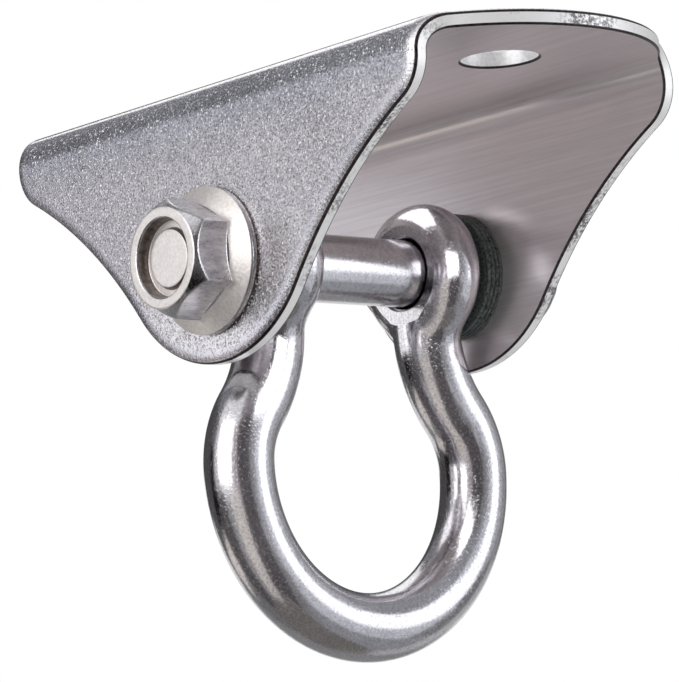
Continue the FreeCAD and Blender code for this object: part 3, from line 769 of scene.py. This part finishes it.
def make_nut():
    seat = HALF_WIDTH
    rim_x = seat + FLANGE_RIM
    hexagon = [(x, FLAT_RADIUS) for x in np.arange(rim_x + 0.02, NUT_HEX_END - 0.1, HEXAGON_STEP)]
    rim = rounded([
        (seat, NUT_COUNTERSINK), (seat, FLANGE_RADIUS, FLANGE_ROUND), (rim_x, FLANGE_RADIUS),
    ], TURNED_ROUND)
    pocket_end, pocket_radius = INSERT_END + SEAT_GAP, INSERT_RADIUS + POCKET_GAP
    collar = rounded([
        (NUT_HEX_END - 0.05, NUT_FACE_RADIUS), (NUT_HEX_END, COLLAR_RADIUS + 0.1, 0.2),
        (NUT_HEX_END + 0.3, COLLAR_RADIUS), (NUT_END - COLLAR_LIP, COLLAR_RADIUS, 0.5),
        (NUT_END, COLLAR_RADIUS - COLLAR_LIP, 0.3), (NUT_END, COLLAR_MOUTH, 0.15),
        (pocket_end, COLLAR_MOUTH), (pocket_end, pocket_radius), (INSERT_START, pocket_radius),
        (INSERT_START, NUT_BORE), (seat, NUT_BORE),
    ], 0.1)
    profile = subdivide(rim, 0.6) + hexagon + subdivide(collar, 0.6)[:-1]
    shape = head_shape(NUT_HEX_END, NUT_FACE_RADIUS, NUT_CHAMFER, seat, NUT_HEX_END - 0.06, rim_x + 0.01)
    bearings = hexagon_bearings(NUT_SIDE_COLUMNS)
    return turned(
        "lock_nut_turned", profile, bearings, "hanger", "lock_nut", shape, closed=True)


def make_insert():
    start, middle = INSERT_START + SEAT_GAP, INSERT_START + 1
    line = rounded([
        (middle, INSERT_BORE), (start, INSERT_BORE), (start, INSERT_RADIUS), (INSERT_END, INSERT_RADIUS),
        (INSERT_END, INSERT_BORE, INSERT_ROUND), (middle, INSERT_BORE),
    ], 0.15)
    return turned(
        "nylon_ring", line[:-1], angles(INSERT_COLUMNS), "hanger", "nut_insert", closed=True)


def make_spacer(side, name, node):
    start, end = SPACER_OUTER_X - SPACER_WIDTH, SPACER_OUTER_X
    middle = (start + end) / 2
    edge = SPACER_RADIUS - 0.02
    low = SPACER_RADIUS - RIB_DEPTH
    line = [(middle, SPACER_INSIDE), (start, SPACER_INSIDE, SPACER_ROUND), (start, edge, SPACER_ROUND)]
    for groove in (-1, 0, 1):
        x = middle + groove * RIB_PITCH
        line += [
            (x - GROOVE_TOP, SPACER_RADIUS, RIB_ROUND), (x - GROOVE_FLOOR, low, GROOVE_ROUND),
            (x + GROOVE_FLOOR, low, GROOVE_ROUND), (x + GROOVE_TOP, SPACER_RADIUS, RIB_ROUND),
        ]
    line += [(end, edge, SPACER_ROUND), (end, SPACER_INSIDE, SPACER_ROUND), (middle, SPACER_INSIDE)]
    profile = [(side * x, r) for x, r in subdivide(rounded(line, 0.1), 0.8)[:-1]]
    return turned(name, profile, angles(SPACER_COLUMNS), "hanger", node, closed=True)


# Materials

EVEN = (1, 1, 1)
ALONG_CHANNEL = (1, 0.02, 1)
ALONG_BOLT = (0.35, 1, 1)
# Scale, detail and roughness of each noise; grain has its own scale in each material.
BLOTCHES = (60.0, 3.0, 0.6)
WAVES = (220.0, 1.0, 0.4)
PITS = (3000.0, 1.0, 0.5)
# Noise of the painted glints, white dull specks that stand in for sparkle highlights.
PAINTED_GLINTS = (2700.0, 1.0, 0.5)
STREAKS = (2200.0, 3.0, 0.65)
TEARS = (120.0, 2.0, 0.5)
TORN_SPECKS = (1900.0, 2.0, 0.6)
METAL_GRAIN = (3.0, 0.65)
PLASTIC_GRAIN = (3.0, 0.6)
PIT_STOPS = ((0.61, 0.0), (0.71, 1.0))
# Where the painted glints turn white.
PAINTED_GLINT_STOPS = ((0.63, 0.0), (0.69, 1.0))
STREAK_DEPTH = 0.000001
TORN_DEPTH = 0.00003
# Finishes round a fold: places run from one reach before the fold's middle (0) to one after it (1).
FOLD_REACH = 8.0
INSIDE_ROUGHNESS = (
    (0.25, 0.28), (0.34, 0.50), (0.495, 0.50), (0.52, 0.29),
    (0.57, 0.29), (0.605, 0.50), (0.67, 0.50), (0.75, 0.28),
)
OUTSIDE_GRAIN = ((0.04, 1.0), (0.10, 0.10), (0.46, 0.10), (0.60, 1.0))
# A painted shade on the outside of the fold: darker and bluer round the bend and the top of the cheek,
# fading out further down.
PAINTED_SHADE_REACH = 20.0
PAINTED_FOLD_SHADE = (
    (0.46, (1.0, 1.0, 1.0)), (0.52, (0.90, 0.92, 0.97)),
    (0.62, (0.82, 0.845, 0.90)), (0.80, (1.0, 1.0, 1.0)),
)
RUBBED_SHARE = 0.35
# Sockets of a Mix node that mixes colours.
MIX_FIRST, MIX_SECOND, MIX_RESULT = 6, 7, 2


def nodes_of(name):
    material = bpy.data.materials.new(name)
    material.use_nodes = True
    tree = material.node_tree
    return material, tree, tree.nodes["Principled BSDF"]


def feed(tree, source, socket):
    """Link an output to a socket, or set the socket to a constant."""
    if isinstance(source, bpy.types.NodeSocket):
        tree.links.new(source, socket)
    else:
        socket.default_value = source


def fill(tree, node, **inputs):
    """Set a node's properties and feed its sockets; an underscore in a socket's name stands for a space."""
    for key, source in inputs.items():
        if hasattr(node, key):
            setattr(node, key, source)
        else:
            feed(tree, source, node.inputs[key.replace("_", " ")])
    return node


def add(tree, kind, **inputs):
    return fill(tree, tree.nodes.new(kind), **inputs)


def arithmetic(tree, operation, *sources):
    node = add(tree, "ShaderNodeMath", operation=operation)
    for source, socket in zip(sources, node.inputs):
        feed(tree, source, socket)
    return node.outputs[0]


def mix_colours(tree, first, second, factor, blend="MIX"):
    node = add(tree, "ShaderNodeMix", data_type="RGBA", blend_type=blend, Factor=factor)
    feed(tree, first, node.inputs[MIX_FIRST])
    feed(tree, second, node.inputs[MIX_SECOND])
    return node.outputs[MIX_RESULT]


def place(tree, stretch):
    """Object coordinates scaled by (x, y, z), so that noise can run along the sheet."""
    source = add(tree, "ShaderNodeTexCoord").outputs["Object"]
    return add(tree, "ShaderNodeMapping", Scale=stretch, Vector=source).outputs["Vector"]


def noise(tree, scale, detail, roughness, stretch=EVEN):
    spot = place(tree, stretch)
    node = add(tree, "ShaderNodeTexNoise", Scale=scale, Detail=detail, Roughness=roughness, Vector=spot)
    return node.outputs["Fac"]


def ramp(tree, source, stops):
    node = add(tree, "ShaderNodeValToRGB", Fac=source)
    while len(node.color_ramp.elements) < len(stops):
        node.color_ramp.elements.new(0.5)
    for element, (position, shade) in zip(node.color_ramp.elements, stops):
        element.position = position
        element.color = (*shade, 1)
    return node.outputs["Color"]


def greys(stops):
    return [(spot, (value,) * 3) for spot, value in stops]


def spread(tree, source, low, high, start=0.3, end=0.7):
    """Source from start to end becomes low to high."""
    node = add(
        tree, "ShaderNodeMapRange", Value=source, From_Min=start, From_Max=end, To_Min=low, To_Max=high)
    return node.outputs["Result"]


def bump(tree, source, distance, strength=1.0, **before):
    """Normal bent by a height; before may give the Normal that it bends."""
    node = add(tree, "ShaderNodeBump", Strength=strength, Distance=distance, Height=source, **before)
    return node.outputs["Normal"]


def round_fold(tree, reach, stops):
    """Colour that changes round the fold, from reach before its middle (0.0) to reach after it (1.0)."""
    split = add(tree, "ShaderNodeSeparateXYZ", Vector=place(tree, EVEN))
    across = arithmetic(tree, "ABSOLUTE", split.outputs["X"])
    past = arithmetic(tree, "SUBTRACT", across, split.outputs["Z"])
    along = spread(tree, past, 0.0, 1.0, (HALF_WIDTH - reach) * MM, (HALF_WIDTH + reach) * MM)
    return ramp(tree, along, stops)


def blast(tree, shader, colour, roughness, strength):
    """Colour and roughness of blasted sheet: painted white glints that stand in for sparkle highlights, a
    painted shade along the fold, and a smooth band where the fold was rubbed.
    """
    # Painted shade along the fold, multiplied into the colour.
    colour = mix_colours(tree, colour, round_fold(tree, PAINTED_SHADE_REACH, PAINTED_FOLD_SHADE), 1.0, "MULTIPLY")
    # Painted glints: white dull specks that stand in for the sparkle of highlights.
    painted_glint = ramp(tree, noise(tree, *PAINTED_GLINTS), greys(PAINTED_GLINT_STOPS))
    painted_glint = arithmetic(tree, "MULTIPLY", painted_glint, strength)
    fill(tree, shader, Metallic=arithmetic(tree, "SUBTRACT", 1.0, painted_glint))
    colour = mix_colours(tree, colour, (1, 1, 1, 1), painted_glint)
    rubbed = spread(tree, strength, RUBBED_SHARE, 1.0, 0.0, 1.0)
    return colour, arithmetic(tree, "MULTIPLY", roughness, rubbed)


def steel(
        name, dark, light, rough, grain_scale, grain_depth, stretch=EVEN, wave_depth=0.0, metallic=1.0,
        stops=(0.36, 0.64), specks=0.0, mottle=0.4, blasted=False):
    """Steel with mottled colour, roughness that varies, and a fine grain; blasted steel also gets painted
    glints and a painted shade along its folds.
    """
    material, tree, shader = nodes_of(name)
    fill(tree, shader, Metallic=metallic)
    fine = noise(tree, grain_scale, *METAL_GRAIN, stretch)
    blotch = arithmetic(tree, "MULTIPLY", noise(tree, *BLOTCHES, stretch), mottle)
    both = arithmetic(tree, "MULTIPLY_ADD", fine, 1 - mottle, blotch)
    colour = ramp(tree, both, [(stops[0], dark), (stops[1], light)])
    roughness = spread(tree, both, *rough)
    strength = 1.0
    if blasted:
        strength = round_fold(tree, FOLD_REACH, greys(OUTSIDE_GRAIN))
        colour, roughness = blast(tree, shader, colour, roughness, strength)
    normal = bump(tree, fine, grain_depth, strength)
    if wave_depth:
        normal = bump(tree, noise(tree, *WAVES), wave_depth, Normal=normal)
    if specks:
        pits = ramp(tree, noise(tree, *PITS), greys(PIT_STOPS))
        normal = bump(tree, pits, specks, strength, Normal=normal)
    fill(tree, shader, Base_Color=colour, Roughness=roughness, Normal=normal)
    return material


def brushed(name, dark, light):
    """Sheet with streaks along the channel; the fold's inside is duller but for one rubbed line."""
    material, tree, shader = nodes_of(name)
    streak = noise(tree, *STREAKS, ALONG_CHANNEL)
    fill(
        tree, shader, Metallic=0.78,
        Base_Color=ramp(tree, streak, [(0.36, dark), (0.64, light)]),
        Roughness=round_fold(tree, FOLD_REACH, greys(INSIDE_ROUGHNESS)),
        Normal=bump(tree, streak, STREAK_DEPTH))
    return material


def sheared(name, light, dark):
    """Bright cut metal with patches of dark specks where the sheet tore."""
    material, tree, shader = nodes_of(name)
    fine = noise(tree, *TORN_SPECKS)
    patch = spread(tree, noise(tree, *TEARS), -0.9, 1.3)
    torn = arithmetic(tree, "MULTIPLY", patch, spread(tree, fine, -0.4, 1.2))
    colour = ramp(tree, torn, [(0.05, light), (0.75, dark)])
    fill(
        tree, shader, Metallic=0.35, Roughness=0.36, Base_Color=colour, Normal=bump(tree, fine, TORN_DEPTH))
    return material


def plastic(name, dark, light, rough, grain_scale, grain_depth):
    material, tree, shader = nodes_of(name)
    fine = noise(tree, grain_scale, *PLASTIC_GRAIN)
    fill(
        tree, shader, Base_Color=ramp(tree, fine, [(0.35, dark), (0.65, light)]),
        Roughness=spread(tree, fine, *rough), Normal=bump(tree, fine, grain_depth))
    return material


# Satin sheet: blasted, with painted glints and a painted shade along its folds.
SATIN = steel(
    "satin_sheet", (0.45, 0.43, 0.46), (1.0, 0.96, 0.99), (0.22, 0.34), 3400.0, 0.00005,
    stops=(0.37, 0.60), specks=0.00009, mottle=0.15, blasted=True)
ROLLED = steel(
    "rolled_border", (0.50, 0.49, 0.54), (0.95, 0.925, 0.96), (0.20, 0.34), 2400.0, 0.00006, specks=0.00004)
# A painted shade: a nearly black line along the sheet's edges.
PAINTED_EDGE_SHADE = steel("painted_edge_shade", (0.03, 0.025, 0.028), (0.12, 0.10, 0.105), (0.30, 0.42), 2200.0, 0.00002)
CUT_EDGE = sheared("cut_edge", (1.0, 0.995, 1.0), (0.22, 0.21, 0.23))
BRUSHED = brushed("brushed_sheet", (0.76, 0.71, 0.72), (0.86, 0.805, 0.815))
HOLE_WALL = steel(
    "hole_wall", (0.72, 0.71, 0.73), (1.0, 1.0, 1.0), (0.30, 0.42), 1600.0, 0.00003, metallic=0.35)
POLISHED = steel(
    "polished_bar", (0.53, 0.515, 0.545), (0.83, 0.81, 0.85), (0.12, 0.23), 2600.0, 0.000006,
    wave_depth=0.00001, specks=0.000012)
BOLT = steel(
    "bolt_steel", (0.58, 0.57, 0.60), (0.86, 0.85, 0.885), (0.13, 0.26), 2200.0, 0.000012, specks=0.00001)
# Painted shade: dark brown for the recess walls and the flange rim's contact line.
PAINTED_RECESS_SHADE = steel("bolt_painted_shade", (0.10, 0.08, 0.075), (0.40, 0.345, 0.32), (0.28, 0.42), 1400.0, 0.00002)
FORGED = steel(
    "forged_face", (0.74, 0.69, 0.665), (1.0, 0.955, 0.93), (0.34, 0.46), 2200.0, 0.00004, metallic=0.7)
FLAT = steel(
    "hexagon_flat", (0.52, 0.51, 0.55), (1.0, 0.98, 1.0), (0.22, 0.36), 1800.0, 0.00003, stretch=ALONG_BOLT)
SPACER = plastic(
    "spacer_plastic", (0.010, 0.015, 0.014), (0.135, 0.155, 0.148), (0.26, 0.40), 2600.0, 0.00003)
NYLON = plastic("nylon", (0.62, 0.61, 0.55), (0.72, 0.71, 0.65), (0.45, 0.6), 500.0, 0.00001)

bracket = make_bracket()
for material in (SATIN, CUT_EDGE, BRUSHED, ROLLED, PAINTED_EDGE_SHADE, HOLE_WALL):
    bracket.data.materials.append(material)
shackle = make_shackle()
shackle.data.materials.clear()
shackle.data.materials.append(POLISHED)
bolt = make_bolt()
for material in (BOLT, PAINTED_RECESS_SHADE, FORGED, FLAT):
    bolt.data.materials.append(material)
make_nut().data.materials.append(BOLT)
make_insert().data.materials.append(NYLON)
make_spacer(-1, "ribbed_spacer_head", "spacer_head_side").data.materials.append(SPACER)
make_spacer(1, "ribbed_spacer_nut", "spacer_nut_side").data.materials.append(SPACER)


# Camera: a fit of the photograph gives its bearing, height, roll, distance and scale at the pivot.

IMAGE = (679, 682)
CAMERA_AZIMUTH = math.radians(-42.24)
CAMERA_ELEVATION = math.radians(-8.822)
CAMERA_ROLL = math.radians(-4.091)
CAMERA_DISTANCE = 479.18
PIXELS_PER_MM = 6.844
PIVOT_PIXEL = (345.29, 270.10)
SENSOR_WIDTH = 36.0


def make_camera():
    back = Vector((
        math.sin(CAMERA_AZIMUTH) * math.cos(CAMERA_ELEVATION),
        -math.cos(CAMERA_AZIMUTH) * math.cos(CAMERA_ELEVATION),
        math.sin(CAMERA_ELEVATION),
    ))
    level = Vector((math.cos(CAMERA_AZIMUTH), math.sin(CAMERA_AZIMUTH), 0))
    upright = back.cross(level)
    right = level * math.cos(CAMERA_ROLL) + upright * math.sin(CAMERA_ROLL)
    up = upright * math.cos(CAMERA_ROLL) - level * math.sin(CAMERA_ROLL)
    focal = PIXELS_PER_MM * CAMERA_DISTANCE
    # The pivot lies off the picture's middle, so the camera turns until its axis meets the middle.
    aside = (IMAGE[0] / 2 - PIVOT_PIXEL[0]) / focal
    below = (IMAGE[1] / 2 - PIVOT_PIXEL[1]) / focal
    axis = (back - right * aside + up * below).normalized()
    right = (right - axis * right.dot(axis)).normalized()
    up = axis.cross(right)
    lens = bpy.data.cameras.new("camera")
    lens.sensor_width = SENSOR_WIDTH
    lens.lens = focal * SENSOR_WIDTH / max(IMAGE)
    lens.clip_start = 0.01
    lens.clip_end = 50.0
    camera = new_object("camera", lens)
    turn = Matrix((right, up, axis)).transposed().to_4x4()
    spot = Vector((0, 0, PIVOT_Z)) + back * CAMERA_DISTANCE
    camera.matrix_world = Matrix.Translation(spot * MM) @ turn
    bpy.context.scene.camera = camera


make_camera()


# Studio: white background, a pale floor, soft boxes, and cards that only reflections show. Its sizes are in
# metres. Azimuths run from -Y towards +X, so the camera stands near -42 and the backdrop lies near 138.

PIVOT = Vector((0, 0, PIVOT_Z * MM))
AMBIENT = 0.7
FLOOR_REACH = 6.0
FLOOR_LEVEL = -0.5
FLOOR_COLOUR = (0.82, 0.82, 0.82, 1)
CARD_STEPS = 12


def bearing_vector(azimuth, elevation):
    a, e = math.radians(azimuth), math.radians(elevation)
    return Vector((math.sin(a) * math.cos(e), -math.cos(a) * math.cos(e), math.sin(e)))


def away(azimuth, elevation, distance):
    """Place at a distance from the pivot."""
    return PIVOT + bearing_vector(azimuth, elevation) * distance


def at(x, y, z):
    """Place in millimetres."""
    return Vector((x, y, z)) * MM


def soft_box(name, spot, target, width, height, brightness, colour):
    """Area lamp at spot that faces target; brightness is what a mirror shows of it."""
    light = bpy.data.lights.new(name, "AREA")
    light.shape = "RECTANGLE"
    light.size, light.size_y = width, height
    light.energy = brightness * math.pi * width * height
    light.color = colour
    lamp = new_object(name, light)
    turn = (spot - target).to_track_quat("Z", "Y").to_matrix().to_4x4()
    lamp.matrix_world = Matrix.Translation(spot) @ turn
    lamp.visible_camera = False
    return lamp


def shine_only_on(source, pieces):
    """Let a lamp or card light these pieces and no others."""
    group = bpy.data.collections.new("lit_by_" + source.name)
    for piece in pieces:
        group.objects.link(piece)
    source.light_linking.receiver_collection = group


def card(name, azimuths, elevations, distance, shade):
    """Part of a sphere round the pivot that reflections see with one shade."""
    columns = CARD_STEPS + 1
    across = np.linspace(*azimuths, columns)
    upward = np.linspace(*elevations, columns)
    points = [away(a, e, distance) for e in upward for a in across]
    faces = [
        (row + k, row + k + 1, row + columns + k + 1, row + columns + k)
        for row in range(0, CARD_STEPS * columns, columns) for k in range(CARD_STEPS)
    ]
    mesh = bpy.data.meshes.new(name)
    mesh.from_pydata(points, [], faces)
    panel = new_object(name, mesh)
    panel.visible_camera = False
    panel.visible_diffuse = False
    panel.visible_shadow = False
    material, tree, shader = nodes_of(name)
    fill(
        tree, shader, Base_Color=(0, 0, 0, 1), Specular_IOR_Level=0, Emission_Color=(*shade, 1),
        Emission_Strength=1)
    mesh.materials.append(material)
    return panel


def make_floor():
    mesh = bpy.data.meshes.new("floor")
    corners = [
        (x * FLOOR_REACH, y * FLOOR_REACH, FLOOR_LEVEL) for x, y in ((-1, -1), (1, -1), (1, 1), (-1, 1))
    ]
    mesh.from_pydata(corners, [], [(0, 1, 2, 3)])
    floor = new_object("floor", mesh)
    material, tree, shader = nodes_of("pale_floor")
    fill(tree, shader, Base_Color=FLOOR_COLOUR, Roughness=0.8)
    mesh.materials.append(material)


def make_world():
    world = bpy.data.worlds.new("studio")
    bpy.context.scene.world = world
    world.use_nodes = True
    tree = world.node_tree
    tree.nodes.clear()
    path = add(tree, "ShaderNodeLightPath")
    seen = arithmetic(tree, "MAXIMUM", path.outputs["Is Camera Ray"], path.outputs["Is Glossy Ray"])
    also = arithmetic(tree, "MAXIMUM", seen, path.outputs["Is Transmission Ray"])
    ambient = add(tree, "ShaderNodeBackground", Color=(1, 1, 1, 1), Strength=AMBIENT)
    white = add(tree, "ShaderNodeBackground", Color=(1, 1, 1, 1), Strength=1.0)
    mix = add(tree, "ShaderNodeMixShader", Fac=also)
    feed(tree, ambient.outputs[0], mix.inputs[1])
    feed(tree, white.outputs[0], mix.inputs[2])
    add(tree, "ShaderNodeOutputWorld", Surface=mix.outputs[0])


make_world()
make_floor()
PLAIN, COOL = (1.0, 1.0, 1.0), (0.95, 0.975, 1.03)
ROSE, WARM = (1.06, 0.97, 1.01), (1.06, 1.0, 0.93)
SKY = (0.94, 0.97, 1.0)

# Name, place, target, width, height, brightness, colour, and the pieces that alone are lit, if not all.
LAMPS = (
    ("soft_box_left", away(-88, 18, 1.2), PIVOT, 1.06, 0.95, 1.35, PLAIN, None),
    ("soft_box_right", away(42, 6, 1.2), PIVOT, 0.62, 0.80, 0.9, SKY, None),
    # Three small lamps inside the channel give the far eye its highlights and light its inner face.
    ("eye_lamp_front", at(-9.4, -42.5, -20.3), at(12.7, -9.7, -26.5), 0.034, 0.028, 2.6, PLAIN, [shackle]),
    ("eye_lamp_top", at(8.3, -0.2, -4.5), at(12.2, -4.6, -18.5), 0.018, 0.018, 1.8, PLAIN, [shackle]),
    ("eye_lamp_inner", at(-6.0, 17.0, -31.0), at(11.1, 0, -31.0), 0.020, 0.018, 1.2, PLAIN, [shackle]),
    # Two edge the bolt's head and light its face, and one brightens the foot of the near cheek.
    ("head_lamp", away(3, 9, 0.5), PIVOT, 0.09, 0.24, 3.0, PLAIN, [bolt]),
    ("face_lamp", away(-138, 9, 0.9), PIVOT, 0.55, 0.50, 0.30, PLAIN, [bolt]),
    ("foot_lamp", at(-58.7, 24.6, -37.4), at(-25.5, -12.0, -45.0), 0.036, 0.020, 0.55, PLAIN, [bracket]),
)
for *lamp_settings, pieces in LAMPS:
    lamp = soft_box(*lamp_settings)
    if pieces:
        shine_only_on(lamp, pieces)

# Name, azimuths, elevations, distance, brightness and tint.
HIGH, LOW = 2.0, 0.45
CARDS = (
    ("left_far", (-180, -148), (-8, 34), HIGH, 0.08, ROSE),
    ("left_next", (-148, -128), (-10, 18), HIGH, 0.86, COOL),
    ("left_next_high", (-148, -128), (18, 34), HIGH, 0.14, COOL),
    ("left_near", (-128, -110), (-8, 34), HIGH, 0.60, PLAIN),
    ("left_high", (-132, -50), (34, 85), HIGH, 0.85, PLAIN),
    ("left_high_far", (-180, -132), (34, 85), HIGH, 0.22, COOL),
    ("camera_left", (-66, -46), (-8, 34), HIGH, 0.46, ROSE),
    ("camera", (-46, -8), (-8, 34), HIGH, 0.09, ROSE),
    ("camera_high", (-46, -8), (34, 85), HIGH, 0.28, ROSE),
    ("front", (-8, 2), (-8, 34), HIGH, 0.24, PLAIN),
    ("front_next", (2, 14), (-12, 30), HIGH, 0.38, COOL),
    ("front_right", (14, 29), (-14, 28), HIGH, 0.74, COOL),
    ("front_high", (-8, 100), (27, 85), HIGH, 0.36, COOL),
    ("right", (56, 76), (-8, 27), HIGH, 0.56, COOL),
    ("right_far", (76, 98), (-8, 27), HIGH, 0.35, PLAIN),
    ("back_right", (98, 120), (-8, 27), HIGH, 0.20, PLAIN),
    ("back_left", (160, 180), (-8, 27), HIGH, 0.07, PLAIN),
    ("back_edge", (120, 160), (4, 28), HIGH, 0.08, PLAIN),
    ("back_line", (124, 160), (28, 62), HIGH, 1.30, PLAIN),
    ("back_line_right", (100, 124), (42, 62), HIGH, 0.17, COOL),
    ("back_line_left", (160, 180), (42, 62), HIGH, 0.17, COOL),
    ("back_high", (100, 180), (62, 85), HIGH, 0.17, COOL),
    ("back_high_right", (100, 124), (27, 42), HIGH, 0.20, COOL),
    ("back_high_left", (160, 180), (27, 42), HIGH, 0.24, COOL),
    ("low_far", (-138, -98), (-66, -8), LOW, 0.09, ROSE),
    ("left_next_low", (-150, -126), (-20, -8), LOW - 0.01, 0.75, ROSE),
    ("low_back_rim", (-180, -138), (-24, -8), LOW, 0.10, PLAIN),
    ("low_back_left", (-168, -138), (-42, -24), LOW, 0.72, WARM),
    ("low_back_edge", (-180, -168), (-42, -24), LOW, 0.20, PLAIN),
    ("low_back_floor", (-180, -138), (-66, -42), LOW, 0.20, PLAIN),
    ("low_left", (-98, -80), (-66, -14), LOW, 0.32, PLAIN),
    ("low_strip", (-80, -46), (-66, -12), LOW, 0.62, WARM),
    ("low_camera", (-46, -4), (-56, -8), LOW, 0.10, ROSE),
    ("low_front", (-4, 12), (-56, -18), LOW, 0.26, PLAIN),
    ("low_front_right", (12, 58), (-36, -14), LOW, 0.70, COOL),
    ("low_front_floor", (12, 84), (-60, -36), LOW, 0.34, COOL),
    ("low_right", (58, 84), (-36, -12), LOW, 0.20, PLAIN),
    ("low_right_rim", (84, 108), (-60, -12), LOW, 0.50, PLAIN),
    ("low_back", (108, 180), (-66, -24), LOW, 0.28, PLAIN),
    ("low_backdrop", (108, 180), (-24, -8), LOW, 0.85, PLAIN),
    ("below", (-180, 180), (-90, -56), LOW + 0.01, 0.18, WARM),
)
CARD_PIECES = {"left_next": [bracket, bolt], "left_next_low": [bracket], "low_strip": [bracket, shackle]}
for name, azimuths, elevations, distance, value, tint in CARDS:
    panel = card("card_" + name, azimuths, elevations, distance, [value * part for part in tint])
    if name in CARD_PIECES:
        shine_only_on(panel, CARD_PIECES[name])

bpy.context.scene.view_settings.view_transform = "Standard"
